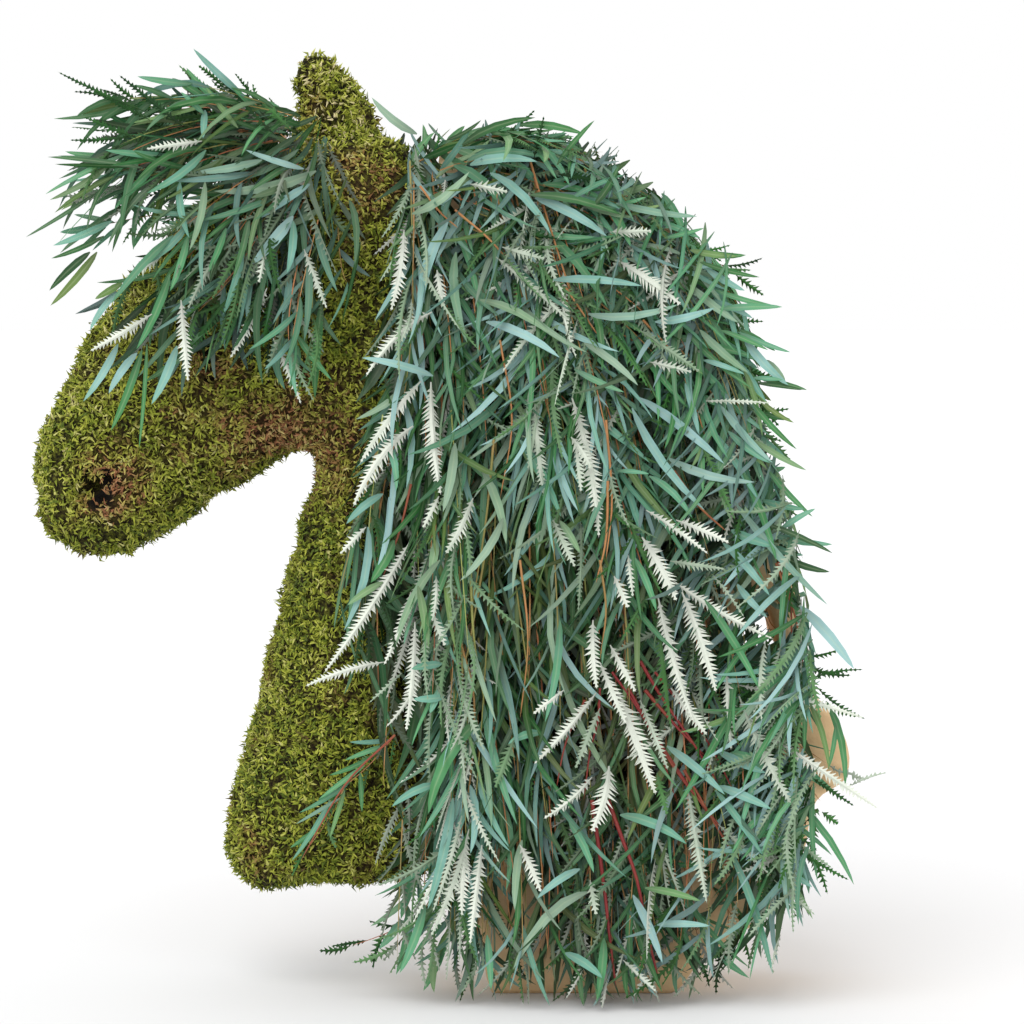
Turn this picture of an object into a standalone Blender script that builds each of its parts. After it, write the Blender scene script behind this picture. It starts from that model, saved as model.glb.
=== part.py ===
"""A horse's head and neck in moss, in the round, with a forelock and a mane of fresh foliage.

The moss covers the head, the single ear and the front half of the neck. The back half of the
neck is a smooth form of moulded paper board with a curled back edge, and it stands on its flat
foot. The forelock and the mane are locks of leafy sprigs that lie on the moss and the form.
Metres, +Z up. The horse faces -X and the full mane falls on its -Y side. The origin is the
centre of the foot, on the floor.
"""

import math
import random

import bmesh
import bpy
from mathutils import Vector, noise

# Driving dimensions, in metres
HEIGHT = 0.928  # floor to the tip of the ear
HEAD_DEPTH = 0.168  # moss head, side to side at the cheek
EAR_DEPTH = 0.050  # side to side at the ear's root
NECK_DEPTH = 0.150  # paper-board form, side to side
MOSS_PROUD = 0.010  # how far the moss stands out beside the form
MOSS_LUMP = 0.0045  # height of the moss's lumps
MOSS_LUMP_SIZE = 0.042  # width of one lump
NOSTRIL_RADIUS = 0.013
FORM_ROUND = 0.009  # rounding along the form's edges
MANE_PROUD = 0.070  # how far the mane stands out from the neck
FORELOCK_PROUD = 0.048  # how far the forelock stands out from the head
LEAF_LENGTH = 0.150  # one leafy sprig's free end
LEAF_WIDTH = 0.022
LEAF_THICKNESS = 0.009
LEAF_BOW = 0.005  # how far a leaf's middle stands out from the line between its ends
TIP_PROUD = (0.010, 0.024)  # how far a leaf's tip stands out from its lock, least and most
GAP = 0.0003  # clearance between two pieces that touch
BED_SINK = 0.003  # how deep a lock's underside is drawn into the form before it is cut clear
TIP_ABOVE_FLOOR = 0.003  # the lowest leaf tips stay this far above the floor

# How the locks and their leaves are formed, as shares
MANE_ENDS = 0.93  # of a strand, where the mane's mass ends and only leaf tips go on
MANE_FAR_ENDS = 0.80
FORELOCK_ENDS = 0.88
FORELOCK_FAR_ENDS = 0.85
MANE_CROWN = 0.78  # of the full depth, at the mane's roots
FORELOCK_CROWN = 0.80
MANE_FAR_PROUD = 0.25  # of MANE_PROUD, on the far side
FORELOCK_FAR_PROUD = 0.50  # of FORELOCK_PROUD, on the far side
MANE_THIN = 0.22  # how much thinner the mane's outermost locks are
LOCK_GROOVE = 0.30  # the parting between two locks, of how proud they stand
GROOVE_AT_ROOT = 0.4  # of that parting, at the roots
CROWN_TO = 0.03  # of a strand, over which the roots' depth grows to the full depth
RISE_AT_ROOT = 0.16  # of the rise from the roots to the full proudness, already there at the roots
RISE_RATE = 1.3  # rises per strand
CLOSING_FROM = 0.62  # of a lock's mass, where it starts to close
CLOSED_WIDTH = 0.78  # of its width, at the mass's end
CLOSED_TOP = 0.82  # of its depth, at the mass's end
CLOSED_BACK = 0.52  # of its depth, where the underside comes up to at the mass's end
RIDGE = 0.46  # of its width, where its ridge lies
RIDGE_WANDER = 0.12  # how far the ridge wanders to either side
LEAVES_FROM = 0.06  # of a strand, where the first leaf on a lock springs
LEAVES_OVER = 0.8  # of the mass below that, along which leaves spring
LEAVES_STRAY = 0.04  # of a strand, how far a leaf's root may move down
LEAF_VARIES = 0.15  # how much longer or shorter a leaf may be
LEAF_ROOT = 0.96  # of a lock's depth, where the leaves on it spring
END_DEPTHS = (0.80, 0.60, 0.70)  # of a lock's depth, where its free ends lie in turn
ENDS_SPRING = 0.07  # of a strand, how far above the mass's end its free ends spring
ENDS_APART = (0.35, 0.70)  # of a lock's width, how wide the free ends stand: roots, then tips
OUTLIER_ROOT = 0.80  # of a lock's depth, where a sprig that reaches out springs
OUTLIER_TIP = 0.72  # of its root's depth, where its tip lies
OUTLIER_ASIDE = 0.2  # of a lock's width, from its middle to such a sprig's root
LEAF_LEAN = 0.10  # of a lock's width, to either side
LEAF_ROOM = 0.45  # of a lock's width, the widest a leaf on it gets
BED_TO = 0.72  # of the sheet's width, up to which the locks' undersides lie flat
THIN_EDGES = (0.15, 0.70)  # of the sheet's width, beyond which the locks get thinner

# The outlines are drawn in millimetres, as (x, z), for a head of this height
DRAWN_HEIGHT = 928.0
SCALE = HEIGHT / DRAWN_HEIGHT

SEAM_X = -137.0  # where the moss meets the form

# The moss in oval sections: a point on the upper or back line, a point on the jaw or chest line,
# and the half depth. The head's, from the muzzle to the poll, are shares of half HEAD_DEPTH.
HEAD_STATIONS = (
    ((-545, 512), (-540, 476), 0.24),
    ((-541, 545), (-524, 446), 0.56),
    ((-530, 577), (-489, 424), 0.72),
    ((-507, 625), (-455, 421), 0.78),
    ((-474, 678), (-415, 437), 0.78),
    ((-432, 733), (-370, 471), 0.84),
    ((-366, 803), (-324, 499), 0.94),
    ((-290, 862), (-282, 528), 1.00),
    ((-212, 866), (-269, 526), 1.00),
)
# The neck's, from the poll down, are shares of half its own depth, over the form's
NECK_STATIONS = (
    ((-137, 838), (-266, 510), 0.97),
    ((-92, 700), (-273, 488), 0.97),
    ((-92, 560), (-285, 452), 1.00),
    ((-92, 430), (-299, 400), 1.00),
    ((-92, 330), (-314, 332), 1.00),
    ((-92, 235), (-341, 238), 1.00),
    ((-92, 165), (-359, 160), 1.00),
    ((-92, 130), (-357, 118), 0.97),
    ((-110, 121), (-330, 96), 0.80),
)
# One cross-section, from its upper line to its lower one: share of the way down, and share of
# the half depth
HEAD_PROFILE = ((0.05, 0.58), (0.26, 1.0), (0.72, 1.0), (0.95, 0.60))
EAR_PROFILE = ((0.22, 0.95), (0.76, 0.85))
CHEEK = (-322, 590)  # centre of the round cheek
CHEEK_RADIUS = 85.0
CHEEK_SWELL = 9.0
# The single ear: left edge, right edge and half depth as a share of half EAR_DEPTH
EAR_STATIONS = (
    ((-280, 812), (-160, 806), 1.10),
    ((-284, 872), (-194, 868), 1.00),
    ((-286, 912), (-225, 910), 0.68),
    ((-268, 932), (-244, 931), 0.24),
)
NOSTRIL = (-480, 502)

# Paper-board form: its edge clockwise from the crest. The back edge curls like a mane.
FORM_EDGE = (
    (-180, 826), (-97, 836), (-37, 832), (23, 816), (78, 787), (112, 745), (128, 685),
    (146, 615), (164, 545), (176, 485), (202, 440), (220, 390), (221, 348), (208, 331),
    (195, 347), (190, 375), (177, 389), (165, 372), (163, 338), (186, 308), (232, 292),
    (266, 250), (263, 208), (236, 196),
    (228, 155), (212, 112), (188, 79), (158, 56), (124, 34), (94, -10), (-87, -10),
    (-99, 55), (-119, 98), (-137, 128), (-180, 135),
)

# The mane's strands, each from the crest to its free end. Locks lie between them.
MANE_STRANDS = (
    ((-189, 838), (-194, 655), (-224, 465), (-228, 300), (-212, 40)),
    ((-165, 842), (-150, 640), (-160, 440), (-166, 240), (-172, 12)),
    ((-135, 844), (-108, 620), (-98, 400), (-97, 190), (-97, 6)),
    ((-98, 846), (-47, 590), (-25, 365), (-18, 175), (-18, 4)),
    ((-62, 845), (8, 600), (45, 365), (58, 170), (60, 4)),
    ((-30, 842), (70, 610), (125, 390), (142, 205), (148, 22)),
    ((8, 838), (108, 668), (172, 465), (204, 285), (216, 70)),
    ((42, 826), (126, 744), (190, 590), (221, 430), (240, 226)),
)
MANE_LOCKS = 10
# The forelock's strands, from the poll over the forehead
FORELOCK_STRANDS = (
    ((-250, 856), (-310, 876), (-375, 886), (-440, 882), (-497, 858)),
    ((-252, 846), (-322, 846), (-390, 836), (-465, 806), (-532, 765)),
    ((-252, 838), (-318, 815), (-382, 776), (-450, 730), (-512, 695)),
    ((-249, 830), (-303, 777), (-350, 720), (-410, 660), (-466, 612)),
    ((-244, 824), (-283, 758), (-312, 690), (-358, 640), (-393, 606)),
    ((-238, 820), (-258, 748), (-272, 680), (-277, 632), (-278, 592)),
    ((-226, 818), (-214, 772), (-208, 735), (-208, 722), (-210, 706)),
)
FORELOCK_LOCKS = 5
# Where a lock's cross-sections lie, as shares of its mass
LONG_STEPS = (0.0, 0.033, 0.22, 0.42, 0.62, 0.82, 1.0)
SHORT_STEPS = (0.0, 0.12, 0.40, 0.68, 1.0)
# The plainer strands on the far side
MANE_FAR_STRANDS = (
    ((-182, 842), (-178, 800), (-175, 770), (-174, 742), (-174, 715)),
    ((-105, 845), (-85, 800), (-74, 760), (-66, 722), (-62, 690)),
    ((-30, 842), (5, 800), (30, 755), (48, 705), (58, 660)),
    ((40, 823), (92, 775), (125, 715), (146, 655), (156, 600)),
    ((90, 790), (134, 722), (160, 655), (178, 590), (188, 530)),
)
MANE_FAR_LOCKS = 4
FORELOCK_FAR_STRANDS = (
    ((-250, 854), (-315, 868), (-375, 868), (-430, 855), (-475, 832)),
    ((-252, 842), (-318, 825), (-385, 795), (-445, 760), (-495, 720)),
    ((-248, 832), (-300, 785), (-345, 735), (-395, 680), (-435, 640)),
    ((-236, 824), (-262, 765), (-285, 715), (-305, 670), (-318, 632)),
)
FORELOCK_FAR_LOCKS = 3

# Single sprigs that reach out past the mass, each from a root near a strand's root to a tip:
# (lock number, share of the way down the lock, tip x, tip z)
MANE_OUTLIERS = (
    (1, 0.02, -166, 884), (4, 0.02, -108, 856), (10, 0.04, 114, 773),
    (10, 0.16, 198, 692), (10, 0.32, 223, 598), (10, 0.50, 253, 468), (10, 0.72, 274, 312),
    (10, 0.78, 306, 207), (9, 0.88, 270, 100),
    (1, 0.24, -204, 612), (1, 0.38, -215, 545), (1, 0.50, -232, 486), (1, 0.56, -264, 300),
    (1, 0.72, -278, 118), (1, 0.80, -258, 32), (2, 0.60, -176, 258),
)
FORELOCK_OUTLIERS = (
    (1, 0.30, -516, 912), (1, 0.34, -458, 908), (1, 0.06, -377, 935), (2, 0.45, -528, 828),
    (2, 0.50, -549, 750), (3, 0.52, -522, 688), (3, 0.50, -483, 590), (4, 0.62, -434, 545),
    (5, 0.55, -257, 590),
)


def at(point, y):
    """A drawn (x, z) point at the depth y, in metres."""
    return Vector((point[0] * SCALE, y, point[1] * SCALE))


def new_object(name, mesh_builder, material, collection):
    """An object whose mesh is what mesh_builder, a bmesh, holds."""
    mesh = bpy.data.meshes.new(name)
    mesh_builder.to_mesh(mesh)
    mesh_builder.free()
    made = bpy.data.objects.new(name, mesh)
    if material:
        made.data.materials.append(material)
    collection.objects.link(made)
    return made


def loft(bm, sections):
    """Skins rings of as many points each, and closes both ends. A last ring of one point is a tip."""
    rings = [[bm.verts.new(p) for p in section] for section in sections]
    for ring, after in zip(rings, rings[1:]):
        sides = len(ring)
        for i in range(sides):
            j = (i + 1) % sides
            if len(after) == 1:
                bm.faces.new((ring[i], ring[j], after[0]))
            else:
                bm.faces.new((ring[i], ring[j], after[j], after[i]))
    bm.faces.new(list(reversed(rings[0])))
    if len(rings[-1]) > 1:
        bm.faces.new(rings[-1])


def settle(obj):
    """Turns an object's modifiers into its mesh."""
    bpy.context.view_layer.update()
    evaluated = obj.evaluated_get(bpy.context.evaluated_depsgraph_get())
    mesh = bpy.data.meshes.new_from_object(evaluated)
    obj.modifiers.clear()
    obj.data = mesh
    return obj


def as_mesh(curve_object, name, material, collection):
    """A mesh object in a curve's place, its caps welded."""
    bpy.context.view_layer.update()
    evaluated = curve_object.evaluated_get(bpy.context.evaluated_depsgraph_get())
    mesh = bpy.data.meshes.new_from_object(evaluated)
    bm = bmesh.new()
    bm.from_mesh(mesh)
    bm.transform(curve_object.matrix_world)
    bmesh.ops.remove_doubles(bm, verts=bm.verts, dist=0.00001)
    facing_out(bm)
    bpy.data.objects.remove(curve_object)
    return new_object(name, bm, material, collection)


def boolean(obj, operation, other, own=False):
    """Joins obj with other, or cuts it. own is for an other whose blades run through each other."""
    step = obj.modifiers.new(operation.lower(), "BOOLEAN")
    step.operation = operation
    step.object = other
    step.solver = "EXACT"
    step.use_self = own
    return settle(obj)


def facing_out(bm):
    bmesh.ops.recalc_face_normals(bm, faces=bm.faces)


def grown(source, name, by, collection):
    """A cutter: a copy of a solid, its skin moved out by a clearance."""
    bm = bmesh.new()
    bm.from_mesh(source.data)
    bm.normal_update()
    moves = []
    for v in bm.verts:
        sharpness = max(0.35, min(v.normal.dot(f.normal) for f in v.link_faces))
        moves.append(v.normal * (by / sharpness))
    for v, move in zip(bm.verts, moves):
        v.co += move
    return hidden(new_object(name, bm, None, collection))


def hidden(obj):
    """Marks a cutter or a guide."""
    obj.hide_render = True
    obj.display_type = "WIRE"
    return obj


def largest_part(obj):
    """Drops the crumbs that a cut leaves beside the main body."""
    bm = bmesh.new()
    bm.from_mesh(obj.data)
    bmesh.ops.remove_doubles(bm, verts=bm.verts, dist=0.000001)
    bmesh.ops.dissolve_limit(
        bm, angle_limit=math.radians(0.5), verts=bm.verts, edges=bm.edges, use_dissolve_boundaries=False
    )
    bmesh.ops.triangulate(bm, faces=bm.faces)
    unseen = set(bm.faces)
    bodies = []
    while unseen:
        waiting = [unseen.pop()]
        body = []
        while waiting:
            face = waiting.pop()
            body.append(face)
            for edge in face.edges:
                if len(edge.link_faces) == 2:
                    beside = [f for f in edge.link_faces if f in unseen]
                    unseen.difference_update(beside)
                    waiting.extend(beside)
        bodies.append(body)
    kept = set(max(bodies, key=len))
    bmesh.ops.delete(bm, geom=[f for f in bm.faces if f not in kept], context="FACES")
    bm.to_mesh(obj.data)
    bm.free()
    return obj


def plain_material(name, colour, roughness):
    made = bpy.data.materials.new(name)
    made.use_nodes = True
    shader = made.node_tree.nodes["Principled BSDF"]
    shader.inputs["Base Color"].default_value = (*colour, 1.0)
    shader.inputs["Roughness"].default_value = roughness
    shader.inputs["Metallic"].default_value = 0.0
    return made


def oval_section(upper, lower, half_depth, profile):
    """A ring round the head: out along one side from the upper line, back along the other."""
    near = []
    for share, depth in profile:
        x = upper[0] + (lower[0] - upper[0]) * share
        z = upper[1] + (lower[1] - upper[1]) * share
        near.append(at((x, z), -half_depth * depth))
    far = [Vector((p.x, -p.y, p.z)) for p in reversed(near)]
    return [at(upper, 0.0), *near, at(lower, 0.0), *far]


def soft_loft(name, runs, profile, material, collection):
    """A soft body skinned over runs of oval sections, each with its half depth, smoothed once."""
    bm = bmesh.new()
    loft(bm, [
        oval_section(upper, lower, share * half_depth, profile)
        for stations, half_depth in runs
        for upper, lower, share in stations
    ])
    facing_out(bm)
    made = new_object(name, bm, material, collection)
    smooth = made.modifiers.new("soft", "SUBSURF")
    smooth.levels = 1
    smooth.render_levels = 1
    return settle(made)


def swell_and_lump(obj):
    """Swells the cheeks, and gives the moss its lumps."""
    bm = bmesh.new()
    bm.from_mesh(obj.data)
    facing_out(bm)
    bm.normal_update()
    moves = []
    for v in bm.verts:
        across = math.hypot(v.co.x - CHEEK[0] * SCALE, v.co.z - CHEEK[1] * SCALE)
        swell = CHEEK_SWELL * SCALE * math.exp(-((across / (CHEEK_RADIUS * SCALE)) ** 2))
        side = math.copysign(min(1.0, abs(v.co.y) / (HEAD_DEPTH / 4)), v.co.y)
        lump = noise.noise(v.co / MOSS_LUMP_SIZE) * MOSS_LUMP * 2
        moves.append(v.normal * lump + Vector((0.0, side * swell, 0.0)))
    for v, move in zip(bm.verts, moves):
        v.co += move
    bm.to_mesh(obj.data)
    bm.free()


def block(name, low, high, collection):
    """A rectangular cutter between two corners."""
    bm = bmesh.new()
    bmesh.ops.create_cube(bm, size=1.0)
    size = Vector(high) - Vector(low)
    middle = (Vector(high) + Vector(low)) / 2
    for v in bm.verts:
        v.co = Vector(a * b for a, b in zip(v.co, size)) + middle
    return hidden(new_object(name, bm, None, collection))


def build_moss(material, parts, cutters):
    """The moss-clad head and chest side of the neck, with its ear and nostrils."""
    runs = ((HEAD_STATIONS, HEAD_DEPTH / 2), (NECK_STATIONS, NECK_DEPTH / 2 + MOSS_PROUD))
    head = soft_loft("moss_head", runs, HEAD_PROFILE, material, parts)
    swell_and_lump(head)
    ear = soft_loft("ear", ((EAR_STATIONS, EAR_DEPTH / 2),), EAR_PROFILE, None, cutters)
    boolean(head, "UNION", hidden(ear))

    _, skin, _, _ = head.ray_cast(at(NOSTRIL, -HEAD_DEPTH), Vector((0.0, 1.0, 0.0)))
    for side in (-1, 1):
        bm = bmesh.new()
        bmesh.ops.create_uvsphere(bm, u_segments=8, v_segments=5, radius=NOSTRIL_RADIUS)
        bmesh.ops.translate(bm, verts=bm.verts, vec=at(NOSTRIL, side * abs(skin.y)))
        pit = hidden(new_object(f"nostril_{side}", bm, None, cutters))
        boolean(head, "DIFFERENCE", pit)

    seam = SEAM_X * SCALE
    beyond = block(
        "moss_beyond_seam",
        (seam - GAP / 2, -HEAD_DEPTH, -HEIGHT),
        (seam + HEIGHT, HEAD_DEPTH, 2 * HEIGHT),
        cutters,
    )
    boolean(head, "DIFFERENCE", beyond)
    return largest_part(head)


def form_blank(name, grow, material, collection):
    """The form's filled outline with rounded edges, its skin moved out by grow."""
    outline = bpy.data.curves.new(name, "CURVE")
    outline.dimensions = "2D"
    outline.fill_mode = "BOTH"
    outline.resolution_u = 2
    outline.extrude = NECK_DEPTH / 2 - FORM_ROUND + grow
    outline.bevel_depth = FORM_ROUND
    outline.bevel_resolution = 1
    outline.offset = grow - FORM_ROUND
    spline = outline.splines.new("BEZIER")
    spline.bezier_points.add(len(FORM_EDGE) - 1)
    spline.use_cyclic_u = True
    for point, (x, z) in zip(spline.bezier_points, FORM_EDGE):
        point.co = (x * SCALE, z * SCALE, 0.0)
        straight = x <= SEAM_X or z <= 0
        point.handle_left_type = "VECTOR" if straight else "AUTO"
        point.handle_right_type = "VECTOR" if straight else "AUTO"
    drawn = bpy.data.objects.new(name, outline)
    drawn.rotation_euler = (math.pi / 2, 0.0, 0.0)
    collection.objects.link(drawn)
    return as_mesh(drawn, name, material, collection)


def build_form(material, parts, cutters):
    """The form: flat at the seam with the moss and flat at the foot."""
    form = form_blank("neck_form", 0.0, material, parts)
    seam = SEAM_X * SCALE
    before = block(
        "form_before_seam",
        (seam - HEIGHT, -NECK_DEPTH, -HEIGHT),
        (seam + GAP / 2, NECK_DEPTH, 2 * HEIGHT),
        cutters,
    )
    boolean(form, "DIFFERENCE", before)
    floor = block(
        "below_foot", (-HEIGHT, -NECK_DEPTH, -HEIGHT), (HEIGHT, NECK_DEPTH, 0.0), cutters
    )
    boolean(form, "DIFFERENCE", floor)
    return largest_part(form)


def spline_point(points, t):
    """A point on the smooth curve through evenly spaced points; past its ends it runs straight."""
    last = len(points) - 1
    place = t * last
    i = max(0, min(last - 1, math.floor(place)))
    f = place - i
    a, b = points[i], points[i + 1]
    before = points[i - 1] if i > 0 else tuple(2 * p - q for p, q in zip(a, b))
    after = points[i + 2] if i + 2 <= last else tuple(2 * q - p for p, q in zip(a, b))
    if f > 1.0:
        return tuple(q + (q - p) * (f - 1.0) for p, q in zip(a, b))
    return tuple(
        0.5 * (2 * q + (r - p) * f + (2 * p - 5 * q + 4 * r - s) * f * f
               + (3 * q - p - 3 * r + s) * f ** 3)
        for p, q, r, s in zip(before, a, b, after)
    )


class Hair:
    """A sheet of strands that locks are cut from. u runs across the strands and t along them."""

    def __init__(self, strands, locks, side, rest, proud, crown, ends_at, bed=0.0, thin=0.0):
        self.strands = strands
        self.locks = locks
        self.side = side  # -1 towards -Y, 1 towards +Y
        self.rest = rest  # half depth of what the locks lie on
        self.proud = proud
        self.crown = crown  # the roots' depth, as a share of the full depth
        self.ends_at = ends_at  # where the locks' mass ends and only leaves go on
        self.bed = bed  # half depth of a flat side that all but the outer locks lie on
        self.thin = thin  # how much thinner the outermost lock is, as a share

    def strand(self, u, t):
        return spline_point(
            tuple(
                spline_point(tuple(strand[i] for strand in self.strands), u)
                for i in range(len(self.strands[0]))
            ),
            t,
        )

    def front(self, u, t):
        """How far the locks' tops stand from the middle plane."""
        crown = self.crown + (1.0 - self.crown) * min(1.0, t / CROWN_TO)
        rise = math.sin(min(1.0, RISE_AT_ROOT + RISE_RATE * t) * math.pi / 2)
        left, right = THIN_EDGES
        edge = 1.0 - self.thin * max((u - right) / (1.0 - right), (left - u) / (1.0 - right), 0.0)
        return (self.rest + self.proud * rise) * edge * crown

    def back(self, u, t):
        """How far the locks' undersides are from the middle plane, before they are cut."""
        closed = self.front(u, t) * CLOSED_BACK * self.closing(t) ** 1.5
        lies_flat = t > 0.0 and u < BED_TO
        return max(GAP + closed, self.bed if lies_flat else 0.0)

    def closing(self, t):
        """0 along the lock's full mass, rising to 1 where the mass ends."""
        return max(0.0, (t / self.ends_at - CLOSING_FROM) / (1.0 - CLOSING_FROM))

    def room(self, number, t):
        """How wide a lock is, in metres."""
        ends = [self.strand(edge / self.locks, t) for edge in (number - 1, number)]
        return math.dist(*ends) * SCALE

    def place(self, u, t, share):
        """A point in the hair: share 1 is on the locks' tops and 0 on the middle plane."""
        return at(self.strand(u, t), self.side * self.front(u, t) * share)


def lock_body(bm, hair, number, steps):
    """The lock's ridged mass between two strands, from the middle plane to its top."""
    width = 1.0 / hair.locks
    first = (number - 1) * width
    sections = []
    for step in steps:
        t = hair.ends_at * step
        closing = hair.closing(t)
        inset = GAP / hair.room(number, t) + (1.0 - CLOSED_WIDTH) / 2 * closing
        groove = LOCK_GROOVE * hair.proud * (1.0 - 0.5 * closing)
        groove *= GROOVE_AT_ROOT + (1.0 - GROOVE_AT_ROOT) * min(1.0, 2 * t)
        ridge = RIDGE + RIDGE_WANDER * math.sin(2.3 * number + 7.0 * t)
        top_share = 1.0 - (1.0 - CLOSED_TOP) * closing
        ring = []
        for share, depth in ((0.0, 1.0), (ridge, 0.0), (1.0, 1.0)):
            u = first + width * (inset + (1 - 2 * inset) * share)
            top = hair.front(u, t) * top_share - groove * depth
            ring.append(at(hair.strand(u, t), hair.side * top))
        for share in (1.0, 0.0):
            u = first + width * (inset + (1 - 2 * inset) * share)
            ring.append(at(hair.strand(u, t), hair.side * hair.back(first, t)))
        sections.append(ring)
    loft(bm, sections)


def leaf(bm, root, tip, out, width, lift):
    """A flat pointed blade of four sides from root to tip, bowed outwards."""
    run = tip - root
    across = run.cross(out).normalized()
    out = across.cross(run).normalized()
    rings = []
    for t, share in ((0.0, 0.6), (0.5, 1.0)):
        centre = root + run * t + out * (lift * math.sin(math.pi * t))
        half = width / 2 * share
        thick = LEAF_THICKNESS / 2
        rings.append([
            centre - across * half, centre + out * thick, centre + across * half,
            centre - out * thick,
        ])
    rings.append([tip])
    loft(bm, rings)


def above_floor(point):
    """Keeps a tip clear of the floor."""
    point.z = max(point.z, TIP_ABOVE_FLOOR)
    return point


def lock_leaves(bm, hair, number, count, free_ends, outliers, rng):
    """Leaves that lie along the lock, its free ends, and the sprigs that reach out of it."""
    width = 1.0 / hair.locks
    middle = (number - 0.5) * width
    out = Vector((0.0, hair.side, 0.0))
    along = SCALE * sum(
        math.dist(hair.strand(middle, i / 8), hair.strand(middle, (i + 1) / 8)) for i in range(8)
    )
    for k in range(count):
        t = LEAVES_FROM + (hair.ends_at - LEAVES_FROM) * LEAVES_OVER * k / count
        t += rng.uniform(0.0, LEAVES_STRAY)
        end = t + LEAF_LENGTH / along * rng.uniform(1.0 - LEAF_VARIES, 1.0 + LEAF_VARIES)
        lean = (LEAF_LEAN if k % 2 else -LEAF_LEAN) * width
        root = hair.place(middle - lean, t, LEAF_ROOT)
        tip = hair.place(middle + lean, end, 1.0)
        tip.y += hair.side * rng.uniform(*TIP_PROUD)
        slim = min(LEAF_WIDTH, LEAF_ROOM * hair.room(number, t))
        leaf(bm, root, above_floor(tip), out, slim, LEAF_BOW)
    for k in range(free_ends):
        spread = width * ((k + 0.5) / free_ends - 0.5)
        depth = END_DEPTHS[k % len(END_DEPTHS)]
        root = hair.place(middle + spread * ENDS_APART[0], hair.ends_at - ENDS_SPRING, depth)
        end = 1.0 + rng.uniform(-0.03, 0.01)
        tip = hair.place(middle + spread * ENDS_APART[1], end, depth * rng.uniform(0.9, 1.05))
        leaf(bm, root, above_floor(tip), out, LEAF_WIDTH * 0.9, LEAF_BOW / 2)
    for owner, t, x, z in outliers:
        if owner == number:
            aside = width * (OUTLIER_ASIDE if number > 1 else -OUTLIER_ASIDE)
            root = hair.place(middle + aside, t, OUTLIER_ROOT)
            tip = at((x, z), root.y * OUTLIER_TIP)
            slim = min(LEAF_WIDTH * 0.8, LEAF_ROOM * hair.room(number, t))
            leaf(bm, root, above_floor(tip), out, slim, 0.0)


def boxes_meet(a, b):
    """Whether the boxes round two objects' meshes meet."""
    spans = [
        [(min(c[i] for c in o.bound_box), max(c[i] for c in o.bound_box)) for i in range(3)]
        for o in (a, b)
    ]
    return all(low < far and high > near for (low, high), (near, far) in zip(*spans))


def build_locks(name, hair, steps, leaves, free_ends, outliers, material, parts, cuts):
    """Every lock of one sheet of hair, fused with its leaves and cut clear of what it touches."""
    cuts = list(cuts)
    for number in range(1, hair.locks + 1):
        rng = random.Random(f"{name}{number}")
        bm = bmesh.new()
        lock_body(bm, hair, number, steps)
        facing_out(bm)
        lock = new_object(f"{name}_{number:02d}", bm, material, parts)
        bm = bmesh.new()
        lock_leaves(bm, hair, number, leaves, free_ends, outliers, rng)
        facing_out(bm)
        blades = hidden(new_object("blades", bm, None, parts))
        boolean(lock, "UNION", blades, own=True)
        bpy.data.objects.remove(blades)
        for cutter in cuts:
            if boxes_meet(lock, cutter):
                boolean(lock, "DIFFERENCE", cutter, own=True)
        largest_part(lock)
        cuts.append(grown(lock, f"{lock.name}_clearance", GAP, cuts[0].users_collection[0]))


def main():
    for leftover in list(bpy.data.objects):
        bpy.data.objects.remove(leftover)
    parts = bpy.data.collections.new("moss_horse")
    cutters = bpy.data.collections.new("cutters")
    for collection in (parts, cutters):
        bpy.context.scene.collection.children.link(collection)
    moss = plain_material("moss", (0.13, 0.15, 0.025), 0.95)
    board = plain_material("paper_board", (0.58, 0.38, 0.20), 0.85)
    foliage = plain_material("foliage", (0.10, 0.22, 0.17), 0.6)

    head = build_moss(moss, parts, cutters)
    build_form(board, parts, cutters)
    cuts = [
        grown(head, "moss_clearance", GAP, cutters),
        hidden(form_blank("form_clearance", GAP, None, cutters)),
    ]

    rest = NECK_DEPTH / 2 + MOSS_PROUD
    bed = NECK_DEPTH / 2 - BED_SINK
    mane = Hair(MANE_STRANDS, MANE_LOCKS, -1, rest, MANE_PROUD, MANE_CROWN, MANE_ENDS, bed, MANE_THIN)
    build_locks("mane_lock", mane, LONG_STEPS, 4, 3, MANE_OUTLIERS, foliage, parts, cuts)
    proud = MANE_PROUD * MANE_FAR_PROUD
    mane_far = Hair(MANE_FAR_STRANDS, MANE_FAR_LOCKS, 1, rest, proud, MANE_CROWN, MANE_FAR_ENDS)
    build_locks("mane_far_lock", mane_far, SHORT_STEPS, 1, 2, (), foliage, parts, cuts)

    rest = HEAD_DEPTH / 2
    forelock = Hair(
        FORELOCK_STRANDS, FORELOCK_LOCKS, -1, rest, FORELOCK_PROUD, FORELOCK_CROWN, FORELOCK_ENDS
    )
    build_locks(
        "forelock_lock", forelock, SHORT_STEPS, 3, 3, FORELOCK_OUTLIERS, foliage, parts, cuts
    )
    proud = FORELOCK_PROUD * FORELOCK_FAR_PROUD
    forelock_far = Hair(
        FORELOCK_FAR_STRANDS, FORELOCK_FAR_LOCKS, 1, rest, proud, FORELOCK_CROWN, FORELOCK_FAR_ENDS
    )
    build_locks("forelock_far_lock", forelock_far, SHORT_STEPS, 1, 2, (), foliage, parts, cuts)


main()
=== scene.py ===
# %% [markdown]
# # Dressing a moss horse
# This lesson dresses the solids of a florist's horse: a head and neck clad in living moss, with a
# forelock and a long mane of fresh leaves pinned to a smooth board form. The solids are plain and
# at their real size. Everything here is laid over them in metres, in the same frame, and nothing
# of them is moved.

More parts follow.
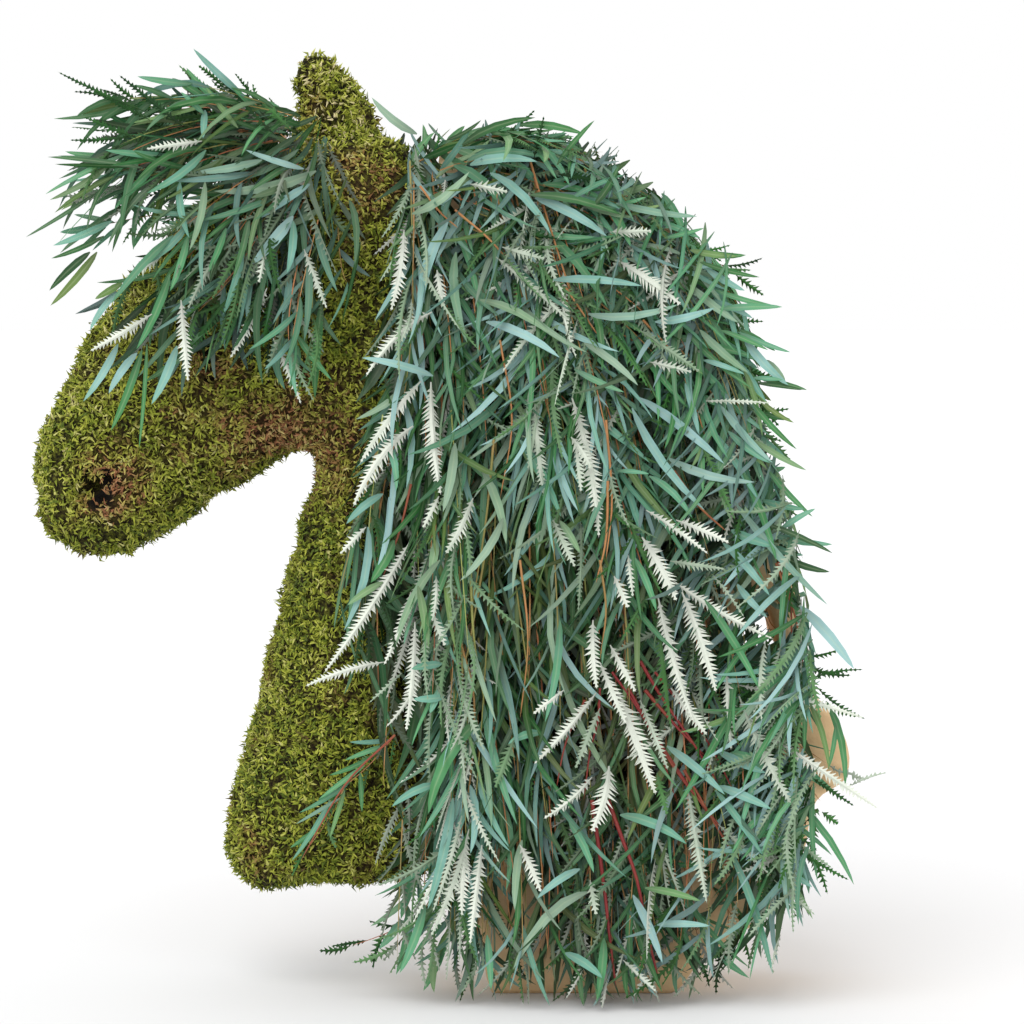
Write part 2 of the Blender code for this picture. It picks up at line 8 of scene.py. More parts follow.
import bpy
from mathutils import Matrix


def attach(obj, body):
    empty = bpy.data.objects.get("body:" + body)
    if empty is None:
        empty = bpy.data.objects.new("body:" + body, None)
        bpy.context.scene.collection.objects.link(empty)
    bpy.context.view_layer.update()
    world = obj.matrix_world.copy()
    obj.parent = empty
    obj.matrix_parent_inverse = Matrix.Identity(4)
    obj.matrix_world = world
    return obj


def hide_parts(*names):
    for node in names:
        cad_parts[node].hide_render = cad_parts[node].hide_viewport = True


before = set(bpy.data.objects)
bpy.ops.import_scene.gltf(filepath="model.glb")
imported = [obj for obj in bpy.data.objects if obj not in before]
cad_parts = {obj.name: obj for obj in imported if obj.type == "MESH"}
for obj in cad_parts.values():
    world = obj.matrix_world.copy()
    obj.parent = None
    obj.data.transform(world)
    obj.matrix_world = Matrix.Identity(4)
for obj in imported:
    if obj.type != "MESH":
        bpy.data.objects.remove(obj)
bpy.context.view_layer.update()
locks = {
    kind: sorted(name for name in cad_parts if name.startswith(kind))
    for kind in ("mane_lock", "mane_far", "forelock_lock", "forelock_far")
}
print("solids:", len(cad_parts), "locks:", {kind: len(found) for kind, found in locks.items()})

# %% Modules and small tools
import math
import random

import bpy
import numpy as np
from mathutils import Vector, noise
from mathutils.bvhtree import BVHTree


def unit(vectors):
    """The same directions with a length of one, for one vector or for rows of them."""
    return vectors / np.maximum(np.linalg.norm(vectors, axis=-1, keepdims=True), 1e-9)


def smooth_step(value, low, high):
    """0 below low, 1 above high, and a soft slope between."""
    share = np.clip((value - low) / (high - low), 0.0, 1.0)
    return share * share * (3 - 2 * share)


print("a soft step at a quarter of its slope:", float(smooth_step(0.25, 0, 1)))

# %% [markdown]
# ## Where the photograph was taken from
# The horse was seen from its own height, from a few steps away and almost square to its side. A
# millimetre of it covers about one pixel, so the camera stands 3.6 m off with a long lens. It
# comes first, because the leaves that stand out in the photograph are placed by what it sees.

# %% The camera
FRAME = 1024  # pixels along each side of the photograph
GROUND_ROW = 985  # the pixel row that the foot stands on
ORIGIN_COLUMN = 577  # the pixel column of the foot's centre
PIXEL = 0.001  # metres that one pixel covers at the horse's middle plane
DISTANCE = 3.6
RAISED = math.radians(3.5)
SENSOR = 36.0

aim = Vector(((FRAME / 2 - ORIGIN_COLUMN) * PIXEL, 0.0, (GROUND_ROW - FRAME / 2) * PIXEL))
back = Vector((0.0, -math.cos(RAISED), math.sin(RAISED)))
camera = bpy.data.objects.new("camera", bpy.data.cameras.new("camera"))
camera.data.sensor_width = SENSOR
camera.data.lens = SENSOR * DISTANCE / (FRAME * PIXEL)
camera.location = aim + back * DISTANCE
camera.rotation_euler = back.to_track_quat("Z", "Y").to_euler()
bpy.context.scene.collection.objects.link(camera)
bpy.context.scene.camera = camera
print("lens:", round(camera.data.lens, 1), "mm")


# %% From a pixel to a place
def at_pixel(column, row, y):
    """The point at the depth y that the camera sees at a pixel of the photograph."""
    up = Vector((0.0, math.sin(RAISED), math.cos(RAISED)))
    across = (column - FRAME / 2) * PIXEL / DISTANCE
    upwards = (FRAME / 2 - row) * PIXEL / DISTANCE
    ray = -back + Vector((across, 0.0, 0.0)) + up * upwards
    return camera.location + ray * ((y - camera.location.y) / ray.y)


def seen_at(point):
    """The pixel column and row at which the camera sees a point."""
    up = Vector((0.0, math.sin(RAISED), math.cos(RAISED)))
    away = Vector(point) - camera.location
    scale = DISTANCE / PIXEL / -away.dot(back)
    return FRAME / 2 + away.x * scale, FRAME / 2 - away.dot(up) * scale


print("the foot's centre is seen at:", [round(v, 3) for v in at_pixel(ORIGIN_COLUMN, GROUND_ROW, 0)])

# %% [markdown]
# ## Floor and light
# The horse stands on a pale sweep under soft light from above and the left. One large floor and a
# wide sun do that without a hard edge, and the sky takes the floor's own brightness at the horizon
# so that no line shows behind the leaves.

# %% The pale floor
FLOOR_REACH = 60.0
FLOOR_COLOUR = (0.775, 0.775, 0.78, 1.0)
floor = bpy.data.objects.new("floor", bpy.data.meshes.new("floor"))
floor.data.from_pydata(
    [(a * FLOOR_REACH, b * FLOOR_REACH, 0.0) for a, b in ((-1, -1), (1, -1), (1, 1), (-1, 1))],
    [],
    [(0, 1, 2, 3)],
)
floor.data.materials.append(bpy.data.materials.new("floor"))
floor.data.materials[0].use_nodes = True
floor_shader = floor.data.materials[0].node_tree.nodes["Principled BSDF"]
floor_shader.inputs["Base Color"].default_value = FLOOR_COLOUR
floor_shader.inputs["Roughness"].default_value = 0.9
bpy.context.scene.collection.objects.link(floor)
print("floor:", 2 * FLOOR_REACH, "m wide")

# %% The soft light
SUN_STRENGTH = 1.7
SUN_WIDTH = math.radians(50)  # a wide sun throws a soft shadow
SUN_TURN = (math.radians(38), math.radians(-22), 0.0)
SKY_STRENGTH = 1.0
bpy.context.scene.view_settings.view_transform = "Standard"
sun = bpy.data.objects.new("sun", bpy.data.lights.new("sun", "SUN"))
sun.data.energy = SUN_STRENGTH
sun.data.angle = SUN_WIDTH
sun.rotation_euler = SUN_TURN
bpy.context.scene.collection.objects.link(sun)
world = bpy.data.worlds.new("sky")
bpy.context.scene.world = world
world.use_nodes = True
world.node_tree.nodes["Background"].inputs["Color"].default_value = (1.0, 1.0, 1.0, 1.0)
world.node_tree.nodes["Background"].inputs["Strength"].default_value = SKY_STRENGTH
print("sun:", SUN_STRENGTH, "sky:", SKY_STRENGTH)

# %% [markdown]
# ## Shader sums written like sums
# A finish is a recipe: some noise, stretched, times a mask, blended between two colours. A socket
# that is wrapped in a small class can be added and multiplied like a number, and each sum adds its
# Math node. Colours go through Mix nodes, because a Math node would turn them grey. One method
# makes every other node.


# %% A wire that can be reckoned with
class Wire:
    """A node's output, with the sums that the finishes here need."""

    def __init__(self, finish, socket):
        self.finish = finish
        self.socket = socket

    def sum(self, operation, first, second):
        return self.finish.node("ShaderNodeMath", {"operation": operation}, {0: first, 1: second})

    def __add__(self, other):
        return self.sum("ADD", self, other)

    __radd__ = __add__

    def __sub__(self, other):
        return self.sum("SUBTRACT", self, other)

    def __rsub__(self, other):
        return self.sum("SUBTRACT", other, self)

    def __mul__(self, other):
        return self.sum("MULTIPLY", self, other)

    __rmul__ = __mul__

    def __pow__(self, other):
        return self.sum("POWER", self, other)


# %% A finish and its nodes
class Finish:
    """A material, and the one method that adds a node to it."""

    def __init__(self, name, roughness, **constants):
        self.material = bpy.data.materials.new(name)
        self.material.use_nodes = True
        self.tree = self.material.node_tree
        self.shader = self.tree.nodes["Principled BSDF"]
        self.shader.inputs["Roughness"].default_value = roughness
        for socket, value in constants.items():
            self.shader.inputs[socket.replace("_", " ")].default_value = value

    def node(self, kind, settings, inputs, output=0):
        made = self.tree.nodes.new(kind)
        for name, value in settings.items():
            if name == "stops":
                while len(made.color_ramp.elements) < len(value):
                    made.color_ramp.elements.new(1.0)
                for element, (position, colour) in zip(made.color_ramp.elements, value):
                    element.position = position
                    element.color = colour
            else:
                setattr(made, name, value)
        for socket, value in inputs.items():
            self.feed(made.inputs[socket], value)
        return Wire(self, made.outputs[output])

    def feed(self, socket, value):
        if isinstance(value, Wire):
            self.tree.links.new(value.socket, socket)
        else:
            socket.default_value = value

    def place(self):
        return self.node("ShaderNodeTexCoord", {}, {}, "Object")

    def attribute(self, name):
        return self.node("ShaderNodeAttribute", {"attribute_name": name}, {}, "Fac")

    def piece_chance(self):
        """A number from 0 to 1 that differs from one loose bit of the mesh to the next."""
        return self.node("ShaderNodeNewGeometry", {}, {}, "Random Per Island")

    def noise(self, size, detail=2.0):
        """Soft noise from 0 to 1 whose patches are about size metres wide."""
        inputs = {"Vector": self.place(), "Scale": 1 / size, "Detail": detail}
        return self.node("ShaderNodeTexNoise", {}, inputs)

    def ramp(self, amount, stops):
        return self.node("ShaderNodeValToRGB", {"stops": stops}, {"Fac": amount})

    def blend(self, amount, first, second):
        return self.node("ShaderNodeMix", {"data_type": "RGBA"}, {0: amount, 6: first, 7: second}, 2)

    def clamped(self, value):
        return self.node("ShaderNodeClamp", {}, {"Value": value})

    def near(self, centre, reach):
        """1 at a point, falling to 0 at a distance."""
        away = self.node(
            "ShaderNodeVectorMath", {"operation": "DISTANCE"}, {0: self.place(), 1: centre}, "Value"
        )
        return self.clamped(1 - away * (1 / reach))

    def colour(self, value):
        self.feed(self.shader.inputs["Base Color"], value)

    def bump(self, height, distance):
        bumped = self.node("ShaderNodeBump", {}, {"Height": height, "Distance": distance})
        self.feed(self.shader.inputs["Normal"], bumped)


def screen_colour(red, green, blue):
    """A colour as a picture editor names it, from 0 to 255, made linear for the shader."""
    shares = [value / 255 for value in (red, green, blue)]
    linear = [v / 12.92 if v <= 0.04045 else ((v + 0.055) / 1.055) ** 2.4 for v in shares]
    return (*linear, 1.0)


print("mid green is", [round(v, 3) for v in screen_colour(90, 140, 70)])

# %% [markdown]
# ## From a cut solid to a grown skin
# The moss and the board are solids with flat facets. A voxel remesh turns each into one even skin,
# a few rounds of smoothing take the facets away, and noise then gives the moss its lumps. The new
# skin stands for the solid and keeps its form. Only the board's shoulder is let down a little,
# because the leaves that cover it lie low there in the photograph.


# %% A smooth skin over a solid
MOSS_VOXEL, MOSS_ROUNDS = 0.0053, 5  # metres, and rounds of smoothing
MOSS_LUMPS = ((0.030, 0.005), (0.011, 0.003))  # width and height of each size of lump
MOSS_SUNK = 0.0058  # room for the fronds to stand on the bed within the solid's size
BOARD_VOXEL, BOARD_ROUNDS = 0.0085, 2
SHOULDER_DROP = 0.018


def skin_over(node, name, voxel, rounds):
    """A new piece: the node's shape as one even, smoothed skin."""
    piece = bpy.data.objects.new(name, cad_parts[node].data.copy())
    piece.data.materials.clear()
    bpy.context.scene.collection.objects.link(piece)
    remesh = piece.modifiers.new("even", "REMESH")
    remesh.mode = "VOXEL"
    remesh.voxel_size = voxel
    soften = piece.modifiers.new("soften", "SMOOTH")
    soften.factor = 0.5
    soften.iterations = rounds
    bpy.context.view_layer.update()
    evaluated = piece.evaluated_get(bpy.context.evaluated_depsgraph_get())
    mesh = bpy.data.meshes.new_from_object(evaluated)
    piece.modifiers.clear()
    piece.data = mesh
    mesh.polygons.foreach_set("use_smooth", [True] * len(mesh.polygons))
    return piece


def points_of(mesh):
    flat = np.empty(len(mesh.vertices) * 3, np.float32)
    mesh.vertices.foreach_get("co", flat)
    return flat.reshape(-1, 3).astype(float)


def move_points(mesh, points):
    mesh.vertices.foreach_set("co", points.astype(np.float32).ravel())
    mesh.update()


def raise_lumps(piece, sizes, sunk):
    """Sinks a skin between its foot and its ear, then raises (width, height) lumps of noise."""
    mesh = piece.data
    normals = np.empty(len(mesh.vertices) * 3, np.float32)
    mesh.vertices.foreach_get("normal", normals)
    points = points_of(mesh)
    lift = -sunk * smooth_step(points[:, 2], 0.10, 0.30) * (1 - smooth_step(points[:, 2], 0.82, 0.88))
    for width, height in sizes:
        lift += [height * noise.noise(Vector(p) / width) for p in points]
    move_points(mesh, points + normals.reshape(-1, 3) * lift[:, None])


def lower_shoulder(piece, depth):
    """Sinks the board where its top falls off to the rear, under the thin leaves there."""
    points = points_of(piece.data)
    behind = smooth_step(points[:, 0], -0.03, 0.04) * (1 - smooth_step(points[:, 0], 0.13, 0.19))
    points[:, 2] -= depth * behind * smooth_step(points[:, 2], 0.60, 0.74)
    move_points(piece.data, points)


moss_bed = skin_over("moss_head", "moss_bed", MOSS_VOXEL, MOSS_ROUNDS)
raise_lumps(moss_bed, MOSS_LUMPS, MOSS_SUNK)
board = skin_over("neck_form", "neck_board", BOARD_VOXEL, BOARD_ROUNDS)
lower_shoulder(board, SHOULDER_DROP)
print("moss bed:", len(moss_bed.data.polygons), "faces; board:", len(board.data.polygons), "faces")

# %% [markdown]
# ## The board form
# The form is moulded paper board: smooth, matt and tan, with faint mottling from the pulp and a
# slightly paler skin where hands have rubbed it. It shows only in gaps, so the finish stays quiet.

# %% The board's finish
paper = Finish("moulded_board", 0.82)
fibres = paper.noise(0.004, 6.0)
clouds = paper.noise(0.060, 3.0)
tan = paper.blend(clouds, screen_colour(214, 178, 130), screen_colour(234, 206, 164))
paper.colour(paper.blend(fibres * 0.35, tan, screen_colour(188, 148, 100)))
paper.bump(fibres + clouds * 0.6, 0.0006)
board.data.materials.append(paper.material)
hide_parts("neck_form")
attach(board, "root")
print("board finish:", len(paper.tree.nodes), "nodes")

# %% [markdown]
# ## What lies on what
# Leaves and fronds rest on the moss and the board. A tree of their faces tells, for any point, how
# far it is from the nearest skin and on which side, so a leaf that would run into the neck can be
# lifted out of it, and one that would pass the floor lies on it.

# %% Keeping things outside the skins
SKIN_REACH = 0.06  # how deep below a skin a point is still brought out
FLOOR_CLEAR = 0.0025


def skin_tree(pieces):
    """One search tree over several skins."""
    corners, faces = [], []
    for piece in pieces:
        start = len(corners)
        corners.extend(v.co.copy() for v in piece.data.vertices)
        faces.extend([start + i for i in face.vertices] for face in piece.data.polygons)
    return BVHTree.FromPolygons(corners, faces)


skins = skin_tree((moss_bed, board))


def lay_outside(points, clear):
    """Brings points that are inside a skin, or closer to it than clear, out of it."""
    for row in points:
        place = Vector(row)
        found, normal, _, away = skins.find_nearest(place, SKIN_REACH)
        if found is None:
            continue
        height = (place - found).dot(normal)
        if height < clear:
            row[:] = place + normal * (clear - height)
    points[:, 2] = np.maximum(points[:, 2], FLOOR_CLEAR)
    return points


print("faces to lie on:", len(moss_bed.data.polygons) + len(board.data.polygons))

# %% [markdown]
# ## Many small things in one mesh
# A moss frond has six faces and there are tens of thousands of them, so they can't be objects of
# their own. Their points and faces are gathered in arrays and become one mesh at the end. Each
# point also keeps a few numbers, such as how near the tip it is, which the finishes read. Leaves
# that would stand further out to a side than the solids do are pressed back, the furthest the
# most, so that the dressed horse keeps its depth.

# %% Pressing the outermost leaves back
NEAR_LIMIT, FAR_LIMIT = -0.166, 0.118  # y, beyond which depths are pressed together
PRESSED = 0.024  # the most that anything then stands beyond the limits


def pressed_in(y):
    """Depths with those beyond the limits pressed together."""
    near = np.maximum(NEAR_LIMIT - y, 0)
    far = np.maximum(y - FAR_LIMIT, 0)
    return y + near - far + PRESSED * (np.exp(-near / PRESSED) - np.exp(-far / PRESSED))


print("depths of -0.22 and 0.21 become", pressed_in(np.array((-0.22, 0.21))).round(3))


# %% Gathering shapes into a mesh
class Gathered:
    """Closed shapes of one kind, kept as arrays until they are made into a piece."""

    def __init__(self, *attributes):
        self.points = []
        self.faces = []
        self.numbers = {name: [] for name in attributes}
        self.count = 0

    def add(self, points, faces, **numbers):
        self.points.append(points)
        self.faces.append(faces + self.count)
        for name, values in numbers.items():
            self.numbers[name].append(np.broadcast_to(values, len(points)))
        self.count += len(points)

    def piece(self, name, finish, slot, replaced=()):
        """The finished piece: meshed, painted, and riding on the body."""
        points = np.concatenate(self.points).astype(np.float32)
        points[:, 1] = pressed_in(points[:, 1])
        faces = np.concatenate(self.faces).astype(np.int32)
        mesh = bpy.data.meshes.new(name)
        mesh.vertices.add(len(points))
        mesh.vertices.foreach_set("co", points.ravel())
        mesh.loops.add(faces.size)
        mesh.loops.foreach_set("vertex_index", faces.ravel())
        mesh.polygons.add(len(faces))
        mesh.polygons.foreach_set("loop_start", np.arange(0, faces.size, 3, dtype=np.int32))
        mesh.polygons.foreach_set("use_smooth", np.zeros(len(faces), bool))
        mesh.update(calc_edges=True)
        for attribute, values in self.numbers.items():
            made = mesh.attributes.new(attribute, "FLOAT", "POINT")
            made.data.foreach_set("value", np.concatenate(values).astype(np.float32))
        mesh.materials.append(finish.material)
        made = bpy.data.objects.new(name, mesh)
        bpy.context.scene.collection.objects.link(made)
        if replaced:
            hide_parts(*replaced)
        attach(made, "root")
        print(f"{name}: {len(faces)} triangles")
        return made


def ring_faces(rings, sides):
    """Triangles that skin rings of as many points, then close on one tip point."""
    faces = [(0, i + 1, i) for i in range(1, sides - 1)]
    for ring in range(rings - 1):
        for i in range(sides):
            a, b = ring * sides + i, ring * sides + (i + 1) % sides
            faces += [(a, b, b + sides), (a, b + sides, a + sides)]
    tip = rings * sides
    last = (rings - 1) * sides
    faces += [(last + i, last + (i + 1) % sides, tip) for i in range(sides)]
    return np.array(faces)


def repeated(faces, copies, points_each):
    """The same faces for many copies of one shape."""
    return (faces[None] + np.arange(copies)[:, None, None] * points_each).reshape(-1, 3)


print("a sliver of two rings of three points and a tip has", len(ring_faces(2, 3)), "triangles")

# %% [markdown]
# ## Moss fronds
# Sheet moss is a felt of short curled fronds, a centimetre long and two millimetres wide, that
# spring in small tufts and lie every way. Each frond here is a bent sliver of three sides. Tufts
# are dealt out over the skin by area, thinly where the mane hides it, and none in the nostrils.

# %% Pits and a crease in the moss
PITS = (  # pixel column, row, reach and depth in mm
    (92, 485, 13, 15), (108, 478, 8, 9), (101, 501, 8, 9), (112, 533, 10, 6),
    (210, 350, 7, 7), (210, 364, 7, 7), (211, 378, 7, 7),
)
MUZZLE_SIDE = -0.06  # y, about where the near side of the muzzle is
FLANKS_FROM = 0.03  # metres from the middle plane, inside which nothing is pressed


def away_from_pit(points, column, row):
    """How far points are from a pit's axis, which runs through both sides."""
    pit = at_pixel(column, row, MUZZLE_SIDE)
    return np.hypot(points[:, 0] - pit.x, points[:, 2] - pit.z)


def press_pits(piece):
    """Presses the nostrils and the cheek's crease into a skin, on both sides."""
    points = points_of(piece.data)
    for column, row, reach, depth in PITS:
        away = away_from_pit(points, column, row)
        press = depth * PIXEL * (1 - smooth_step(away, 0.2 * reach * PIXEL, reach * PIXEL))
        points[:, 1] -= np.sign(points[:, 1]) * press * (np.abs(points[:, 1]) > FLANKS_FROM)
    move_points(piece.data, points)


press_pits(moss_bed)
print("pits pressed:", len(PITS))

# %% Where tufts grow
TUFTS = 11600
FRONDS_IN_TUFT = 5
FAR_SHARE = 0.55  # how densely tufts stand on the far side
HIDDEN_SHARE = 0.15  # and under the mane
MANE_HIDES_FROM = -0.175  # x, on the near side, behind which the mane covers the moss
MANE_HIDES_BELOW = 0.84  # z
BARE_REACH = 0.95  # no tuft stands nearer to a pit's centre, as a share of its reach


def spread_over(mesh, count, share_at, rng):
    """Points dealt out over a mesh by area times share_at(point), with their normals."""
    mesh.calc_loop_triangles()
    corners = np.empty(len(mesh.loop_triangles) * 3, np.int32)
    mesh.loop_triangles.foreach_get("vertices", corners)
    triangles = points_of(mesh)[corners.reshape(-1, 3)]
    normals = np.cross(triangles[:, 1] - triangles[:, 0], triangles[:, 2] - triangles[:, 0])
    area = np.linalg.norm(normals, axis=1) / 2
    centres = triangles.mean(axis=1)
    weight = area * share_at(centres)
    chosen = rng.choice(len(area), count, p=weight / weight.sum())
    a, b = rng.random((2, count, 1))
    over = a + b > 1
    a, b = np.where(over, 1 - a, a), np.where(over, 1 - b, b)
    t = triangles[chosen]
    spots = t[:, 0] + (t[:, 1] - t[:, 0]) * a + (t[:, 2] - t[:, 0]) * b
    return spots, unit(normals[chosen])


def tuft_share(points):
    """How densely tufts stand at points of the moss."""
    near_side = points[:, 1] < 0
    share = np.where(near_side, 1.0, FAR_SHARE)
    behind, below = points[:, 0] > MANE_HIDES_FROM, points[:, 2] < MANE_HIDES_BELOW
    hidden = near_side & behind & below
    share = np.where(hidden, HIDDEN_SHARE, share)
    for column, row, reach, _ in PITS:
        bare = away_from_pit(points, column, row) < BARE_REACH * reach * PIXEL
        share = np.where(bare, 0.0, share)
    return share


moss_chance = np.random.default_rng(11)
tuft_spots, tuft_normals = spread_over(moss_bed.data, TUFTS, tuft_share, moss_chance)
print("tufts:", len(tuft_spots))


# %% Bending the fronds
FROND_FACES = np.array(((0, 2, 1), (0, 3, 2), (0, 1, 3), (1, 2, 4), (2, 3, 4), (3, 1, 4)))
FROND_LENGTH, FROND_WIDTH = (0.0070, 0.0130), (0.0021, 0.0036)  # least and most, in metres
FROND_LIFT, FROND_HOOK = (8, 62), (15, 95)  # in degrees
FROND_SUNK = 0.0015
TUFT_SPREAD = 0.0026  # how far a tuft's fronds spring from its centre


def fronds(gathered, spots, normals, rng, length, width, lift, hook):
    """One hooked sliver from each spot. length, width, lift and hook are each (least, most)."""
    count = len(spots)
    sideways = unit(np.cross(normals, rng.normal(size=(count, 3))))
    tilt = np.radians(rng.uniform(*lift, (count, 1)))
    run = np.cos(tilt) * sideways + np.sin(tilt) * normals
    size = rng.uniform(*length, (count, 1))
    half = rng.uniform(*width, (count, 1)) / 2
    turn = np.radians(rng.uniform(*hook, (count, 1)))
    aside = unit(np.cross(run, rng.normal(size=(count, 3))) - 0.35 * normals)
    bent = unit(run * np.cos(turn) + aside * np.sin(turn))
    root = spots - normals * FROND_SUNK
    elbow = root + run * size * 0.5
    tip = elbow + bent * size * 0.55
    across = unit(np.cross(run + bent, normals + 0.4 * rng.normal(size=(count, 3))))
    above = unit(np.cross(across, run))
    points = np.stack([
        root, elbow - across * half, elbow + across * half, elbow + above * half * 0.8, tip,
    ], axis=1)
    faces = repeated(FROND_FACES, count, 5)
    gathered.add(points.reshape(-1, 3), faces, tip=np.tile((0.0, 0.6, 0.6, 0.6, 1.0), count))


def tuft_of(spots, normals, each, rng, apart):
    """Every tuft's spot repeated for its fronds, each a little aside."""
    many = np.repeat(spots, each, axis=0)
    out = np.repeat(normals, each, axis=0)
    aside = rng.normal(size=many.shape) * apart
    aside -= out * (aside * out).sum(axis=1, keepdims=True)
    return many + aside, out


SPLIT_X = -0.283  # the moss is made in two pieces, head and neck, that meet here
head_tufts = tuft_spots[:, 0] < SPLIT_X
print("tufts on the head:", int(head_tufts.sum()), "and on the neck:", int((~head_tufts).sum()))

# %% [markdown]
# ## The moss's finish
# Living moss runs from bright yellow-green tips through olive to brown where it has dried, and
# painted shade makes it almost black down between the fronds. Each frond takes a chance colour,
# patches of noise push whole areas greener or drier, and painted shade darkens each frond from its
# tip down to its root. Round the nostrils, under the throat and between forelock and mane the moss
# has dried to ochre and rust. Painted shade makes the nostrils and the cheek's crease almost
# black.

# %% Dry places
DRY_PLACES = (  # pixel column, row, reach in mm, and how dry
    (112, 486, 34, 0.9), (98, 505, 24, 0.6), (50, 478, 18, 0.7), (300, 440, 62, 0.7),
    (262, 462, 40, 0.5), (366, 170, 34, 1.0), (408, 137, 30, 1.2), (336, 470, 40, 0.4),
    (207, 364, 26, 0.6), (160, 540, 36, 0.4), (232, 880, 40, 0.4), (330, 120, 26, 0.5),
)

LUSH_PLACES = (  # the same, and how much lighter the moss is
    (325, 90, 62, 0.40), (62, 430, 52, 0.12), (105, 320, 46, 0.14), (190, 450, 60, 0.08),
    (250, 700, 60, 0.08), (120, 540, 40, 0.10),
)


def dryness(finish):
    """How dry the moss is: chance patches, and the places that are dry in the photograph."""
    total = finish.noise(0.045, 3.0) * 1.5 - 0.62
    for column, row, reach, amount in DRY_PLACES:
        spot = at_pixel(column, row, -0.07)
        for side in (-1, 1):
            total = total + finish.near((spot.x, side * 0.075, spot.z), 1.6 * reach * PIXEL) * amount
    return finish.clamped(total)


print("dry places:", len(DRY_PLACES), "and lush ones:", len(LUSH_PLACES))

# %% Frond and bed finishes
moss = Finish("moss_fronds", 0.75, Specular_IOR_Level=0.35)
chance = moss.piece_chance()
patch = moss.noise(0.020, 2.0)
lush = 0.0
for column, row, reach, amount in LUSH_PLACES:
    spot = at_pixel(column, row, -0.05)
    lush = moss.near((spot.x, spot.y, spot.z), 1.6 * reach * PIXEL) * amount + lush
green = moss.ramp(chance * 0.72 + patch * 0.74 + lush - 0.27, (
    (0.00, screen_colour(58, 66, 18)), (0.22, screen_colour(96, 116, 30)),
    (0.48, screen_colour(146, 158, 44)), (0.74, screen_colour(184, 188, 70)),
    (0.90, screen_colour(206, 204, 120)), (1.00, screen_colour(222, 208, 156)),
))
dry = moss.ramp(moss.noise(0.007, 2.0) * 0.8 + chance * 0.5 - 0.1, (
    (0.15, screen_colour(92, 52, 34)), (0.42, screen_colour(158, 104, 66)),
    (0.66, screen_colour(196, 150, 108)), (0.90, screen_colour(222, 194, 140)),
))
share_dry = moss.clamped(dryness(moss) * 1.5 - chance * 0.9)
fresh_or_dry = moss.blend(share_dry, green, dry)
# painted shade: each frond is darkened from its tip down to its root, for the shade between the fronds
shade = moss.attribute("tip") * 0.85 + 0.15
moss.colour(moss.blend(shade, screen_colour(30, 24, 8), fresh_or_dry))
print("moss finish:", len(moss.tree.nodes), "nodes")

bed = Finish("moss_bed", 0.95, Specular_IOR_Level=0.2)
felt = bed.noise(0.004, 4.0)
bed_green = bed.ramp(felt, (
    (0.38, screen_colour(16, 13, 5)), (0.52, screen_colour(54, 54, 16)),
    (0.72, screen_colour(108, 112, 36)),
))
bed_dry = bed.blend(dryness(bed) * 0.7, bed_green, screen_colour(64, 38, 22))
# painted shade: the bed turns almost black round the nostrils' pits and the cheek's crease, where shade
# falls in them
pit_shade = 0.0
for column, row, reach, depth in PITS:
    pit = at_pixel(column, row, MUZZLE_SIDE)
    for side in (-1, 1):
        pit_shade = bed.near((pit.x, side * 0.062, pit.z), 2.2 * reach * PIXEL) * 1.6 + pit_shade
bed.colour(bed.blend(bed.clamped(pit_shade), bed_dry, screen_colour(12, 8, 5)))
bed.bump(felt + bed.noise(0.0015, 2.0) * 0.5, 0.004)
moss_bed.data.materials.append(bed.material)
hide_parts("moss_head")
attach(moss_bed, "root")
print("bed finish:", len(bed.tree.nodes), "nodes")

# %% The moss pieces
for name, kept in (("moss_head_fronds", head_tufts), ("moss_neck_fronds", ~head_tufts)):
    grown = Gathered("tip")
    centres, normals = tuft_spots[kept], tuft_normals[kept]
    spots, normals = tuft_of(centres, normals, FRONDS_IN_TUFT, moss_chance, TUFT_SPREAD)
    fronds(grown, spots, normals, moss_chance, FROND_LENGTH, FROND_WIDTH, FROND_LIFT, FROND_HOOK)
    grown.piece(name, moss, "moss")

# %% [markdown]
# ## Sheets of strands
# The mane and the forelock fall as sheets of strands, and the solids' locks were cut from the same
# strands. u runs across a sheet, t runs down it, and a share says how far out from the neck a
# point lies. Sprigs are laid along these strands, so the leaves flow as the locks do.

# %% The strands
MANE_STRANDS = (  # from the crest to the free end, as (x, z) in millimetres
    ((-189, 838), (-194, 655), (-224, 465), (-228, 300), (-212, 40)),
    ((-165, 842), (-150, 640), (-160, 440), (-166, 240), (-172, 12)),
    ((-135, 844), (-108, 620), (-98, 400), (-97, 190), (-97, 6)),
    ((-98, 846), (-47, 590), (-25, 365), (-18, 175), (-18, 4)),
    ((-62, 845), (8, 600), (45, 365), (58, 170), (60, 4)),
    ((-30, 842), (70, 610), (125, 390), (142, 205), (148, 22)),
    ((8, 838), (108, 668), (172, 465), (204, 285), (216, 70)),
    ((42, 826), (126, 744), (190, 590), (221, 430), (240, 226)),
)
FORELOCK_STRANDS = (
    ((-250, 856), (-310, 876), (-375, 886), (-440, 882), (-497, 858)),
    ((-252, 846), (-322, 846), (-390, 836), (-465, 806), (-532, 765)),
    ((-252, 838), (-318, 815), (-382, 776), (-450, 730), (-512, 695)),
    ((-249, 830), (-303, 777), (-350, 720), (-410, 660), (-466, 612)),
    ((-244, 824), (-283, 758), (-312, 690), (-358, 640), (-393, 606)),
    ((-238, 820), (-258, 748), (-272, 680), (-277, 632), (-278, 592)),
    ((-226, 818), (-214, 772), (-208, 735), (-208, 722), (-210, 706)),
)
MANE_FAR_STRANDS = (
    ((-182, 842), (-178, 800), (-175, 770), (-174, 742), (-174, 715)),
    ((-105, 845), (-85, 800), (-74, 760), (-66, 722), (-62, 690)),
    ((-30, 842), (5, 800), (30, 755), (48, 705), (58, 660)),
    ((40, 823), (92, 775), (125, 715), (146, 655), (156, 600)),
    ((90, 790), (134, 722), (160, 655), (178, 590), (188, 530)),
)
